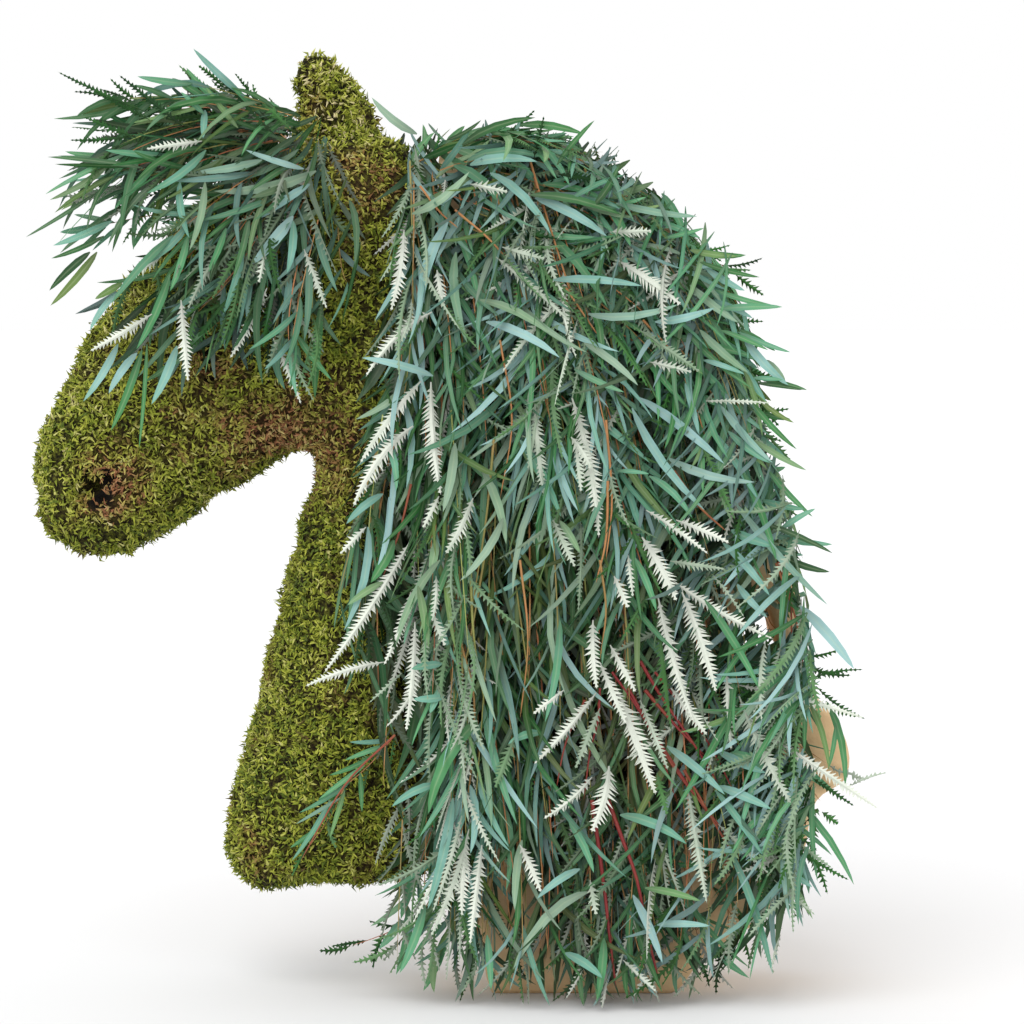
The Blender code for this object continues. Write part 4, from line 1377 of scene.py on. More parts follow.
for number in range(FORELOCK_ROOF_SPRIGS):
    sprig = chance_sprig(forelock_sheet, (0.03, 0.26), (0.0, 0.22), (0.10, 0.15), (-1.5, 0.1),
                         no_splay, FORELOCK_LAST, forelock_rng)
    sprig.light[:] = forelock_rng.uniform(0.4, 0.9)
    if number % 2:
        forelock_blades += sprig.leaves(
            0.016, (0.045, 0.075), (0.005, 0.008), (12, 36), 40, 0.16, (0.0, 0.6)
        )
    else:
        forelock_combs += sprig.leaves(
            0.024, (0.038, 0.062), (0.008, 0.012), (14, 38), 36, 0.12, (0.0, 0.25)
        )
    tube(forelock_stems, sprig.line[1:], 0.0008, 3, forelock_rng.uniform(0.2, 0.8))
forelock_blades = kept_within(forelock_blades, FORELOCK_REACH)
forelock_combs = kept_within(forelock_combs, FORELOCK_REACH)
print("forelock:", len(forelock_blades), "blades and", len(forelock_combs), "combs")

# %% The far side's sprigs
MANE_FAR_SPRIGS = 46
FORELOCK_FAR_SPRIGS = 28
FAR_LAST = 0.75
far_rng = random.Random(21)
far_stems = Gathered("tone")
far_leaves = {"mane_far": ([], []), "forelock_far": ([], [])}
for name, sheet, sprigs, reach in (
    ("mane_far", mane_far_sheet, MANE_FAR_SPRIGS, MANE_REACH),
    ("forelock_far", forelock_far_sheet, FORELOCK_FAR_SPRIGS, FORELOCK_REACH),
):
    blade_list, comb_list = far_leaves[name]
    for number in range(sprigs):
        sprig = chance_sprig(sheet, (0.02, 0.98), (0.0, 0.35), (0.08, 0.15), (0.3, 1.0),
                             no_splay, FAR_LAST, far_rng)
        if number % 3:
            blade_list += sprig.leaves(
                0.017, (0.045, 0.085), (0.0065, 0.010), (8, 30), 40, 0.2, (0.1, 0.9)
            )
        else:
            comb_list += sprig.leaves(
                0.027, (0.045, 0.080), (0.011, 0.017), (10, 34), 36, 0.15, (0.0, 0.9)
            )
        tube(far_stems, sprig.line[1:], 0.0008, 3, far_rng.uniform(0.2, 0.8))
    far_leaves[name] = (kept_within(blade_list, reach), kept_within(comb_list, reach))
print("far side:", {name: [len(part) for part in parts] for name, parts in far_leaves.items()})

# %% [markdown]
# ## Sprigs that make the outline
# Along the crest and the rear edge the sprigs stand away from the sheet, and they give the mane
# its ragged outline. So do a few at its foot and one that has slipped down over the chest. Each is
# placed by the pixels between which its stem runs in the photograph.

# %% Sprigs placed one by one
# pixel column and row of the stem's start, then of its end, depth in mm, bend as a share of the
# length, leaf length in mm, and tone
CREST_BLADE_SPRIGS = (
    (410, 168, 468, 148, 84, 0.10, 48, 0.3), (432, 166, 488, 146, 56, 0.10, 50, 0.5),
    (424, 158, 474, 144, 20, 0.10, 46, 0.3), (436, 178, 496, 160, 98, 0.10, 52, 0.6),
    (420, 162, 505, 132, 72, 0.10, 58, 0.2), (455, 152, 540, 137, 30, 0.10, 56, 0.4),
    (440, 170, 560, 168, 100, 0.10, 66, 0.6), (540, 172, 604, 152, 50, 0.10, 52, 0.3),
    (560, 200, 640, 214, 100, 0.10, 66, 0.6), (600, 184, 652, 198, 20, 0.10, 50, 0.4),
    (500, 180, 560, 160, 0, 0.10, 56, 0.4), (620, 230, 700, 262, 60, 0.10, 62, 0.5),
    (650, 262, 728, 300, 20, 0.08, 58, 0.4), (670, 310, 738, 352, 90, 0.08, 66, 0.6),
    (690, 350, 752, 400, 50, 0.08, 62, 0.5), (700, 400, 762, 455, 100, 0.08, 66, 0.6),
    (730, 450, 778, 508, 60, 0.05, 58, 0.5), (730, 500, 790, 590, 90, 0.05, 76, 0.7),
    (740, 560, 786, 636, 50, 0.05, 76, 0.6), (700, 640, 768, 718, 110, 0.05, 68, 0.5),
    (720, 700, 796, 768, 80, 0.05, 66, 0.6), (700, 760, 785, 836, 110, 0.05, 62, 0.5),
    (690, 800, 765, 875, 80, 0.04, 58, 0.5), (640, 840, 700, 925, 110, 0.04, 58, 0.5),
    (470, 880, 440, 945, 110, 0.0, 54, 0.5), (430, 850, 402, 920, 100, 0.0, 56, 0.6),
    (480, 150, 520, 138, -20, 0.10, 50, 0.3), (580, 175, 640, 190, -10, 0.10, 52, 0.4),
    (640, 225, 700, 258, -20, 0.08, 54, 0.4), (700, 330, 750, 378, -10, 0.08, 54, 0.4),
)
CREST_COMB_SPRIGS = (
    (430, 165, 520, 136, 60, 0.10, 46, 0.1), (500, 162, 556, 142, 40, 0.10, 42, 0.1),
    (560, 192, 636, 200, 90, 0.10, 52, 0.25), (600, 216, 684, 248, 70, 0.06, 50, 0.15),
    (640, 240, 712, 278, 40, 0.06, 52, 0.2), (650, 280, 726, 328, 95, 0.06, 52, 0.25),
    (680, 330, 742, 368, 60, 0.05, 50, 0.15), (690, 250, 736, 275, 0, 0.04, 44, 0.1),
    (720, 380, 762, 425, 30, 0.04, 48, 0.2), (730, 430, 762, 490, 80, 0.05, 50, 0.2),
    (750, 640, 808, 666, 60, 0.03, 46, 0.1), (740, 660, 810, 698, 90, 0.03, 46, 0.25),
    (740, 722, 826, 762, 70, 0.05, 50, 0.75), (740, 780, 786, 812, 60, 0.03, 46, 0.15),
    (740, 800, 802, 848, 90, 0.05, 48, 0.2), (720, 840, 770, 886, 60, 0.03, 46, 0.2),
    (690, 860, 738, 926, 80, 0.03, 46, 0.25), (650, 880, 688, 940, 100, 0.03, 46, 0.2),
    (560, 900, 570, 955, 115, 0.03, 44, 0.2), (418, 918, 350, 946, 92, 0.03, 38, 0.05),
    (430, 900, 397, 944, 110, 0.03, 42, 0.5), (470, 900, 480, 950, 115, 0.03, 44, 0.6),
    (395, 735, 342, 788, 100, 0.04, 34, 0.25), (345, 786, 306, 850, 98, 0.04, 30, 0.3),
)
BROW_BLADE_SPRIGS = (
    (290, 142, 218, 104, 62, -0.06, 46, 0.3), (280, 152, 182, 108, 40, -0.08, 50, 0.3),
    (270, 162, 152, 130, 72, -0.08, 52, 0.5), (250, 172, 122, 156, 90, -0.05, 52, 0.5),
    (300, 134, 262, 108, 22, -0.05, 38, 0.3), (230, 190, 112, 190, 98, -0.04, 50, 0.2),
    (220, 210, 100, 226, 95, -0.03, 46, 0.6),
)
BROW_COMB_SPRIGS = (
    (285, 150, 228, 92, 42, -0.04, 40, 0.05), (240, 152, 148, 106, 52, -0.05, 44, 0.05),
    (235, 152, 108, 98, 32, -0.05, 44, 0.05), (215, 166, 108, 132, 70, -0.05, 44, 0.1),
    (284, 138, 262, 110, 32, 0.0, 34, 0.2), (220, 180, 128, 152, 20, -0.04, 42, 0.1),
    (250, 170, 170, 140, 5, -0.05, 44, 0.15),
)
edge_rng = random.Random(14)
edge_blades, edge_combs = [], []


def grow_seen(rows, stems, kept, every, width, roll):
    """Grows the sprigs in rows and keeps their leaves."""
    for row in rows:
        sprig = sprig_seen(row, edge_rng)
        length, tone = row[6] * PIXEL, row[7]
        kept += sprig.leaves(
            every, (0.75 * length, 1.1 * length), width, (10, 38), roll, 0.12, (tone, tone)
        )
        tube(stems, lay_outside(sprig.line.copy(), 0.003), 0.0008, 3, edge_rng.uniform(0.3, 0.9))


grow_seen(CREST_BLADE_SPRIGS, mane_stems, edge_blades, 0.013, (0.0065, 0.0100), 36)
grow_seen(CREST_COMB_SPRIGS, mane_stems, edge_combs, 0.016, (0.010, 0.015), 30)
grow_seen(BROW_BLADE_SPRIGS, forelock_stems, forelock_blades, 0.014, (0.0060, 0.0090), 36)
grow_seen(BROW_COMB_SPRIGS, forelock_stems, forelock_combs, 0.014, (0.007, 0.011), 30)
edge_blades = trimmed(edge_blades, edge_rng, 0.15)
edge_combs = clear_of(BOARD_GAPS, edge_combs, edge_rng, 0.15)
print("on the outline:", len(edge_blades), "blades and", len(edge_combs), "combs")

# %% [markdown]
# ## Leaves that stand out
# Some leaves make the picture: the silver combs at the mane's front edge, the long blades that
# cross it, the ones that break its outline. They are placed one by one, by the pixels where they
# spring and end, out in front of the rest.

# %% Blades placed one by one
# pixel column and row of the root, then of the tip, width in mm, bow, and tone (0 deep green,
# 0.5 sea green, 1 pale blue-green)
MANE_BLADES = (
    (417, 134, 376, 100, 9, 0.12, 0.95), (447, 140, 479, 121, 5, -0.1, 0.0),
    (462, 145, 527, 123, 9, 0.15, 0.1), (520, 125, 580, 134, 9, 0.1, 0.3),
    (557, 165, 594, 121, 6, 0.05, 0.2), (470, 165, 528, 163, 11, 0.16, 0.8),
    (490, 173, 539, 226, 10, 0.18, 0.8), (535, 198, 604, 235, 11, 0.08, 0.9),
    (594, 205, 616, 168, 9, -0.12, 0.1), (530, 195, 616, 214, 10, 0.1, 0.15),
    (616, 203, 696, 216, 8, -0.05, 0.8), (412, 214, 458, 176, 10, -0.18, 0.85),
    (448, 222, 424, 310, 12, -0.15, 0.9), (456, 252, 468, 330, 11, -0.16, 0.75),
    (553, 280, 640, 286, 9, 0.06, 0.9), (588, 314, 668, 304, 9, -0.14, 0.85),
    (655, 322, 712, 308, 9, -0.08, 0.9), (480, 300, 545, 333, 10, 0.14, 0.8),
    (486, 322, 553, 356, 10, 0.12, 0.95), (584, 343, 636, 384, 9, 0.08, 0.95),
    (433, 376, 363, 358, 9, -0.05, 0.9), (640, 398, 723, 463, 11, 0.05, 1.0),
    (632, 408, 702, 503, 10, -0.1, 0.9), (668, 458, 748, 479, 10, -0.12, 0.95),
    (713, 431, 758, 500, 8, 0.03, 0.8), (762, 500, 804, 509, 8, -0.05, 0.7),
    (780, 530, 815, 509, 7, 0.05, 0.7), (766, 524, 832, 553, 7, 0.04, 0.0),
    (774, 535, 831, 544, 8, -0.06, 0.7), (784, 557, 828, 571, 8, -0.08, 0.0),
    (735, 502, 827, 604, 9, -0.04, 0.85), (800, 606, 853, 668, 12, 0.05, 1.0),
    (737, 584, 767, 617, 8, -0.05, 0.9), (723, 543, 769, 595, 9, 0.05, 0.85),
    (760, 400, 792, 421, 6, -0.1, 0.1), (455, 443, 443, 511, 10, 0.05, 0.9),
    (384, 440, 392, 482, 8, 0.2, 0.6), (383, 494, 350, 522, 9, -0.12, 0.85),
    (389, 497, 378, 560, 8, 0.12, 1.0), (368, 527, 345, 619, 9, 0.14, 0.9),
    (503, 518, 463, 575, 9, 0.12, 0.95), (482, 470, 504, 540, 10, 0.1, 0.85),
    (520, 440, 560, 515, 10, 0.06, 0.7), (477, 722, 441, 798, 15, -0.2, 0.35),
    (438, 784, 398, 805, 9, -0.15, 0.75), (453, 798, 428, 908, 11, 0.04, 0.8),
    (470, 785, 469, 845, 9, 0.15, 0.9), (541, 733, 515, 743, 9, -0.2, 0.7),
    (580, 869, 540, 897, 9, -0.1, 0.85), (588, 892, 543, 950, 11, -0.3, 0.95),
    (569, 822, 592, 870, 9, 0.1, 0.6), (620, 815, 679, 842, 11, 0.14, 0.7),
    (667, 746, 724, 794, 10, 0.05, 0.85), (645, 888, 700, 901, 8, 0.05, 0.5),
    (633, 895, 662, 962, 10, 0.05, 1.0), (657, 925, 709, 926, 8, 0.05, 0.95),
    (604, 938, 597, 1000, 10, 0.04, 0.5), (565, 953, 600, 977, 10, 0.1, 0.8),
    (522, 840, 515, 909, 9, -0.05, 0.85), (425, 905, 400, 972, 10, 0.05, 0.6),
    (487, 935, 491, 990, 8, 0.02, 0.6), (730, 850, 772, 972, 9, 0.05, 0.7),
    (742, 470, 776, 560, 9, 0.05, 0.4), (705, 600, 760, 690, 9, 0.04, 0.5),
    (560, 620, 545, 720, 9, 0.06, 0.6), (440, 560, 400, 640, 9, -0.12, 0.8),
    (795, 800, 850, 880, 8, 0.1, 0.5), (765, 850, 812, 918, 8, 0.05, 0.6),
    (715, 790, 763, 856, 8, 0.03, 0.75), (718, 786, 771, 809, 10, 0.03, 0.8),
    (718, 751, 766, 773, 10, -0.03, 0.85), (730, 753, 760, 760, 8, 0.05, 0.5),
    (778, 867, 812, 887, 8, 0.03, 0.85), (748, 812, 778, 834, 10, 0.03, 0.8),
    (804, 695, 804, 753, 6, 0.02, 0.3), (806, 696, 827, 766, 7, 0.10, 0.4),
    (826, 701, 840, 777, 9, 0.15, 0.35), (836, 723, 828, 769, 6, 0.05, 0.4),
    (789, 716, 801, 735, 6, -0.05, 0.5), (783, 680, 786, 720, 8, 0.03, 0.7),
    (685, 383, 699, 435, 7, 0.02, 0.85), (737, 360, 767, 405, 8, 0.03, 0.8),
    (742, 364, 762, 435, 6, 0.06, 0.5), (753, 378, 783, 380, 5, 0.03, 0.6),
    (756, 383, 802, 390, 5, 0.03, 0.1), (765, 360, 785, 381, 8, 0.05, 0.85),
    (763, 413, 790, 419, 6, -0.05, 0.3), (728, 431, 769, 462, 8, -0.06, 0.7),
    (731, 530, 774, 546, 10, -0.05, 0.75), (649, 476, 687, 514, 8, 0.14, 0.6),
    (635, 558, 656, 610, 8, 0.05, 0.5), (560, 521, 580, 553, 8, 0.03, 0.7),
    (574, 369, 624, 392, 7, -0.04, 0.6), (703, 360, 744, 374, 6, 0.04, 0.8),
    (617, 471, 649, 474, 5, 0.05, 0.6), (690, 250, 737, 256, 7, -0.05, 0.4),
    (700, 262, 759, 277, 6, -0.04, 0.2), (715, 290, 779, 307, 6, -0.05, 0.5),
    (720, 330, 768, 350, 6, 0.03, 0.4), (738, 332, 790, 352, 6, -0.04, 0.6),
    (712, 300, 752, 318, 7, 0.05, 0.8), (660, 222, 700, 238, 7, 0.03, 0.6),
    (604, 208, 645, 197, 6, -0.06, 0.5), (628, 216, 663, 205, 5, 0.05, 0.3),
    (664, 238, 704, 228, 5, -0.03, 0.5), (696, 250, 743, 254, 8, -0.10, 0.25),
    (720, 309, 782, 307, 8, 0.03, 0.6), (740, 330, 775, 351, 7, 0.04, 0.3),
    (744, 338, 787, 383, 10, -0.08, 0.85), (760, 379, 807, 390, 6, 0.03, 0.2),
    (570, 200, 622, 176, 6, 0.08, 0.6), (706, 268, 744, 290, 8, -0.06, 0.8),
    (690, 285, 738, 322, 9, -0.05, 0.85), (700, 330, 748, 372, 9, -0.05, 0.8),
    (754, 440, 806, 470, 7, -0.04, 0.6), (768, 470, 812, 516, 7, -0.05, 0.4),
    (720, 405, 772, 462, 8, -0.05, 0.85), (746, 395, 796, 448, 7, -0.06, 0.3),
    (394, 540, 371, 582, 12, 0.05, 0.3), (383, 582, 348, 605, 8, -0.05, 0.6),
    (436, 540, 430, 574, 10, 0.04, 0.7), (418, 586, 428, 650, 9, 0.04, 0.6),
    (442, 664, 412, 669, 9, -0.06, 0.75), (444, 697, 414, 699, 9, 0.05, 0.75),
    (439, 689, 430, 713, 8, 0.03, 0.7),
)
FORELOCK_BLADES = (
    (142, 168, 48, 157, 6, -0.03, 0.1), (114, 176, 56, 212, 6, -0.06, 0.1),
    (98, 192, 26, 237, 5, 0.02, 0.1), (112, 221, 54, 245, 9, 0.05, 0.75),
    (104, 236, 52, 258, 6, 0.05, 0.1), (90, 252, 50, 290, 9, -0.05, 0.05),
    (97, 252, 51, 305, 9, 0.04, 0.1), (122, 283, 95, 299, 8, 0.0, 0.3),
    (118, 292, 92, 328, 8, -0.1, 0.85), (205, 110, 203, 138, 8, 0.0, 0.8),
    (204, 114, 181, 92, 6, 0.0, 0.6), (238, 128, 206, 87, 6, 0.02, 0.5),
    (304, 169, 246, 150, 7, 0.03, 0.95), (316, 171, 222, 188, 12, 0.12, 0.9),
    (310, 184, 261, 218, 9, -0.03, 0.9), (293, 216, 252, 264, 13, 0.03, 1.0),
    (293, 221, 287, 271, 9, 0.08, 0.8), (180, 182, 189, 233, 9, -0.12, 0.75),
    (205, 182, 190, 246, 9, 0.1, 0.8), (226, 228, 207, 273, 8, 0.06, 0.5),
    (188, 236, 170, 290, 9, 0.06, 0.5), (170, 274, 137, 348, 9, 0.05, 0.45),
    (243, 247, 223, 314, 9, 0.06, 0.7), (118, 344, 84, 400, 9, 0.06, 0.9),
    (137, 353, 110, 392, 9, -0.08, 0.95), (142, 350, 111, 430, 9, 0.04, 0.3),
    (147, 344, 139, 448, 5, 0.02, 0.3), (177, 346, 152, 403, 11, 0.06, 0.85),
    (290, 266, 279, 348, 8, 0.04, 0.8), (322, 302, 315, 398, 10, -0.03, 0.25),
    (206, 150, 150, 190, 9, 0.1, 0.7), (262, 160, 196, 172, 9, 0.05, 0.85),
)
CHEST_BLADES = (
    (385, 745, 345, 760, 5, 0.0, 0.5), (372, 757, 330, 775, 5, 0.05, 0.4),
    (365, 765, 318, 800, 5, 0.0, 0.5), (350, 782, 300, 812, 5, 0.05, 0.6),
    (345, 790, 330, 838, 5, 0.0, 0.4), (330, 800, 292, 860, 5, 0.05, 0.7),
    (360, 772, 362, 812, 5, 0.0, 0.4), (318, 828, 290, 848, 4, 0.0, 0.4),
    (390, 740, 350, 742, 5, 0.04, 0.8), (340, 798, 296, 824, 4, 0.0, 0.8),
)
print("blades:", len(MANE_BLADES), len(FORELOCK_BLADES), len(CHEST_BLADES))

# %% Combs placed one by one
# the same six numbers, with the comb's whole width in mm, and tone (0 green, 1 silver)
MANE_COMBS = (
    (534, 158, 544, 116, 10, 0.0, 0.0), (558, 174, 602, 181, 14, 0.0, 0.0),
    (404, 230, 391, 310, 17, 0.05, 1.0), (437, 270, 443, 306, 16, 0.0, 1.0),
    (432, 312, 374, 371, 18, -0.14, 1.0), (496, 257, 573, 324, 16, 0.02, 0.85),
    (619, 261, 680, 304, 25, 0.05, 1.0), (470, 184, 508, 192, 15, 0.0, 0.9),
    (502, 247, 545, 259, 15, 0.0, 0.8), (610, 232, 652, 231, 16, 0.0, 0.9),
    (421, 381, 361, 462, 20, -0.05, 0.95), (431, 382, 441, 494, 23, -0.04, 1.0),
    (413, 426, 361, 499, 22, -0.14, 1.0), (439, 496, 423, 528, 14, 0.0, 0.9),
    (366, 527, 340, 554, 12, 0.0, 1.0), (411, 540, 324, 673, 18, 0.03, 1.0),
    (473, 498, 446, 553, 19, 0.05, 0.9), (411, 592, 384, 664, 14, 0.05, 1.0),
    (535, 404, 545, 498, 18, -0.03, 0.85), (572, 398, 598, 535, 21, 0.06, 0.95),
    (553, 520, 575, 567, 15, 0.0, 0.8), (676, 520, 729, 543, 15, 0.03, 1.0),
    (646, 510, 708, 554, 12, 0.03, 1.0), (642, 537, 676, 600, 22, 0.05, 1.0),
    (670, 561, 725, 569, 13, 0.0, 0.7), (672, 580, 772, 638, 16, -0.05, 1.0),
    (658, 597, 694, 722, 20, -0.03, 1.0), (682, 592, 716, 692, 22, 0.03, 1.0),
    (614, 576, 628, 608, 16, 0.0, 1.0), (593, 620, 597, 688, 18, -0.05, 1.0),
    (610, 645, 636, 692, 17, 0.0, 1.0), (600, 663, 626, 724, 18, 0.0, 1.0),
    (726, 671, 731, 750, 17, 0.0, 0.95), (738, 685, 864, 718, 15, 0.03, 1.0),
    (805, 681, 860, 671, 8, 0.1, 0.05), (616, 688, 656, 795, 26, 0.0, 1.0),
    (596, 693, 534, 764, 16, 0.04, 1.0), (564, 690, 533, 714, 13, 0.0, 1.0),
    (609, 766, 592, 828, 25, 0.1, 1.0), (592, 777, 546, 816, 15, 0.1, 0.95),
    (600, 708, 575, 769, 14, 0.0, 0.7), (520, 845, 541, 892, 17, 0.03, 1.0),
    (469, 829, 431, 935, 17, 0.05, 0.9), (482, 845, 470, 945, 18, 0.0, 1.0),
    (466, 842, 462, 916, 18, -0.03, 1.0), (514, 740, 495, 788, 18, 0.0, 0.45),
    (671, 688, 707, 735, 18, 0.0, 0.95), (688, 789, 707, 904, 19, 0.0, 0.8),
    (415, 622, 406, 731, 18, 0.03, 1.0), (384, 662, 307, 686, 13, -0.06, 1.0),
    (436, 576, 432, 620, 12, 0.08, 0.9), (432, 614, 445, 646, 13, 0.0, 0.9),
    (402, 673, 369, 703, 7, 0.0, 0.7),
    (590, 880, 596, 915, 14, 0.0, 0.8), (623, 960, 656, 992, 12, 0.0, 0.9),
    (766, 733, 879, 809, 16, 0.0, 1.0), (739, 696, 793, 806, 20, -0.04, 0.85),
    (847, 788, 885, 774, 8, 0.10, 0.8), (816, 686, 862, 716, 9, -0.12, 0.1),
    (812, 778, 854, 806, 9, 0.0, 0.05), (822, 812, 838, 824, 11, 0.0, 0.2),
    (799, 812, 803, 842, 10, 0.0, 0.2), (784, 842, 849, 880, 10, -0.02, 0.1),
    (794, 839, 832, 868, 8, -0.02, 0.6), (786, 806, 763, 872, 10, -0.08, 0.9),
    (718, 824, 769, 874, 12, 0.0, 0.75), (720, 733, 706, 774, 6, 0.0, 0.9),
    (657, 773, 667, 815, 14, 0.0, 0.3), (571, 437, 591, 468, 17, 0.05, 0.9),
    (576, 446, 581, 492, 13, 0.0, 0.9), (628, 555, 633, 597, 10, 0.0, 0.9),
    (706, 401, 771, 403, 8, 0.02, 0.9), (650, 362, 692, 372, 14, 0.0, 0.9),
    (712, 574, 744, 617, 7, 0.03, 0.7), (715, 481, 731, 521, 9, 0.0, 0.5),
    (774, 880, 815, 915, 10, 0.0, 0.8), (752, 900, 774, 974, 10, -0.03, 0.7),
    (640, 700, 668, 770, 14, 0.0, 0.8), (540, 400, 528, 470, 13, 0.0, 0.7),
    (700, 440, 735, 520, 13, 0.0, 0.3), (640, 330, 700, 372, 15, 0.0, 0.6),
)
FORELOCK_COMBS = (
    (276, 136, 203, 58, 10, 0.02, 0.0), (291, 130, 257, 96, 12, 0.0, 0.25),
    (144, 111, 58, 72, 9, 0.02, 0.05), (182, 126, 119, 75, 11, 0.0, 0.0),
    (136, 138, 84, 117, 10, 0.0, 0.05), (130, 137, 70, 140, 9, 0.03, 0.05),
    (202, 141, 146, 149, 14, 0.0, 0.95), (161, 257, 126, 278, 14, 0.0, 0.9),
    (152, 314, 90, 351, 15, 0.02, 1.0), (181, 300, 188, 382, 16, 0.0, 1.0),
    (267, 288, 230, 358, 15, 0.03, 1.0), (265, 253, 259, 283, 11, 0.0, 0.9),
    (304, 249, 327, 309, 12, 0.0, 0.9), (273, 338, 301, 404, 12, 0.03, 1.0),
    (226, 300, 190, 348, 17, 0.0, 0.05), (271, 294, 263, 348, 12, 0.0, 0.1),
    (150, 120, 95, 92, 9, 0.0, 0.05),
)
print("combs:", len(MANE_COMBS), len(FORELOCK_COMBS))

# %% From rows to leaves
BLADE_SLIM = 0.86  # the widths in the blades' rows were read a little wide
BOW_SHOWN = 2.6  # the bows in the rows are how far the middle stands off, and a tip swings further
PLACED_CURL = 0.8  # combs that are placed one by one lie flatter than the others
CHEST_SPRIG_Y = -0.104


def placed(rows, depth_at, lift, rng, slim=1.0):
    """Leaves from rows of pixels, each out in front of the sheet that it belongs to."""
    made = []
    for root_column, root_row, tip_column, tip_row, width, bow, tone in rows:
        y = depth_at(root_column, root_row) - rng.uniform(0.0, 0.010)
        root = at_pixel(root_column, root_row, y)
        tip = at_pixel(tip_column, tip_row, y - lift)
        run = tip - root
        face = Vector((rng.uniform(-0.45, 0.45), -1.0, rng.uniform(-0.3, 0.45)))
        side = run.cross(face).normalized()
        swing = bow * BOW_SHOWN
        straight = run - side * swing * run.length
        made.append(Leaf(
            root, straight, face, straight.length, width * PIXEL * slim,
            swing * run.length / straight.length, 0.0, tone, 1.0, PLACED_CURL,
        ))
    return made


def mane_depth(column, row):
    """How far out the mane's surface is at a pixel."""
    down = (row - 140) / 845
    edge = max(0.0, (column - 700) / 160)
    return -(0.090 + 0.068 * math.sin(min(1.0, 0.2 + 1.3 * down) * math.pi / 2) - 0.035 * edge)


def forelock_depth(column, row):
    """How far out the forelock's surface is at a pixel."""
    return -(0.100 + 0.028 * smooth_step((330 - column) / 250, 0.0, 0.6))


def chest_depth(column, row):
    """How far out the sprig over the chest lies, the same all along it."""
    return CHEST_SPRIG_Y


eye_rng = random.Random(3)
eye_blades = placed(MANE_BLADES, mane_depth, 0.004, eye_rng, BLADE_SLIM)
eye_combs = placed(MANE_COMBS, mane_depth, 0.006, eye_rng)
eye_blades += placed(CHEST_BLADES, chest_depth, 0.002, eye_rng)
brow_blades = placed(FORELOCK_BLADES, forelock_depth, 0.003, eye_rng, BLADE_SLIM)
brow_combs = placed(FORELOCK_COMBS, forelock_depth, 0.004, eye_rng)
print("placed by eye:", len(eye_blades), len(eye_combs), len(brow_blades), len(brow_combs))

# %% [markdown]
# ## The leaves' finishes
# The blades carry a waxy bloom that turns deep green to a pale sea green, and a slightly paler
# line along the middle. The combs are green above and felted white below. A fresh leaf is satin,
# not glossy, so the bloomed ones are rougher than the bare green ones.

# %% Blade and comb finishes
DEEP_SHADE = screen_colour(24, 15, 8)  # what a leaf turns to down between the others
MAROON_SHADE = screen_colour(86, 22, 20)  # and in the pocket where the thick red stems show
blade = Finish("bloomed_blade", 0.5, Specular_IOR_Level=0.45)
chance = blade.piece_chance()
tone = blade.attribute("tone") + (blade.noise(0.02, 2.0) - 0.5) * 0.25 + (chance - 0.5) * 0.1
# painted light and shade: each leaf's light number blends its colour between the painted deep shade and its
# own colour
in_light = blade.attribute("light") * 0.80 + 0.20
blade_colour = blade.ramp(tone, (
    (0.00, screen_colour(26, 74, 28)), (0.26, screen_colour(48, 114, 54)),
    (0.50, screen_colour(76, 142, 94)), (0.76, screen_colour(102, 156, 138)),
    (1.00, screen_colour(146, 184, 182)),
))
middle = at_pixel(490, 590, -0.15)
olive_here = blade.near((middle.x, middle.y, middle.z), 0.20) * 0.4
olive = blade.clamped((chance + olive_here - 0.80) * 10)
blade_colour = blade.blend(olive * 0.5, blade_colour, screen_colour(120, 134, 58))
rib_line = blade.attribute("rib") ** 6.0
veined = blade.blend(rib_line * 0.25, blade_colour, screen_colour(186, 202, 160))
# painted shade: in this pocket near the thick red stems the deep shade is painted maroon
pocket = at_pixel(640, 745, -0.12)
in_pocket = blade.near((pocket.x, pocket.y, pocket.z), 0.10)
deep = blade.blend(in_pocket, DEEP_SHADE, MAROON_SHADE)
blade.colour(blade.blend(in_light, deep, veined))
blade.feed(blade.shader.inputs["Roughness"], blade.attribute("tone") * 0.2 + 0.42)
print("blade finish:", len(blade.tree.nodes), "nodes")

comb = Finish("silver_comb", 0.8, Specular_IOR_Level=0.3)
silver = comb.attribute("tone") + (comb.noise(0.015, 2.0) - 0.5) * 0.3
comb_colour = comb.ramp(silver, (
    (0.00, screen_colour(22, 58, 24)), (0.16, screen_colour(50, 104, 42)),
    (0.38, screen_colour(90, 130, 82)), (0.62, screen_colour(134, 156, 130)),
    (0.84, screen_colour(182, 194, 176)), (1.00, screen_colour(214, 219, 206)),
))
# painted light and shade: each comb's light number blends its colour between the painted deep shade and its
# own colour
comb.colour(comb.blend(comb.attribute("light") * 0.8 + 0.2, DEEP_SHADE, comb_colour))
print("comb finish:", len(comb.tree.nodes), "nodes")

# %% Stem finish
bark = Finish("stem", 0.6)
bark.colour(bark.ramp(bark.attribute("tone") + (bark.noise(0.02) - 0.5) * 0.3, (
    (0.00, screen_colour(124, 32, 32)), (0.25, screen_colour(140, 76, 48)),
    (0.50, screen_colour(176, 122, 74)), (0.75, screen_colour(128, 118, 62)),
    (1.00, screen_colour(150, 158, 84)),
)))
print("stem finish:", len(bark.tree.nodes), "nodes")


# %% The leaf pieces
def plain_blades(gathered, leaves):
    """Blades with few faces, for the ones deep in the shade."""
    blades(gathered, leaves, PLAIN_BLADE, 0.003)


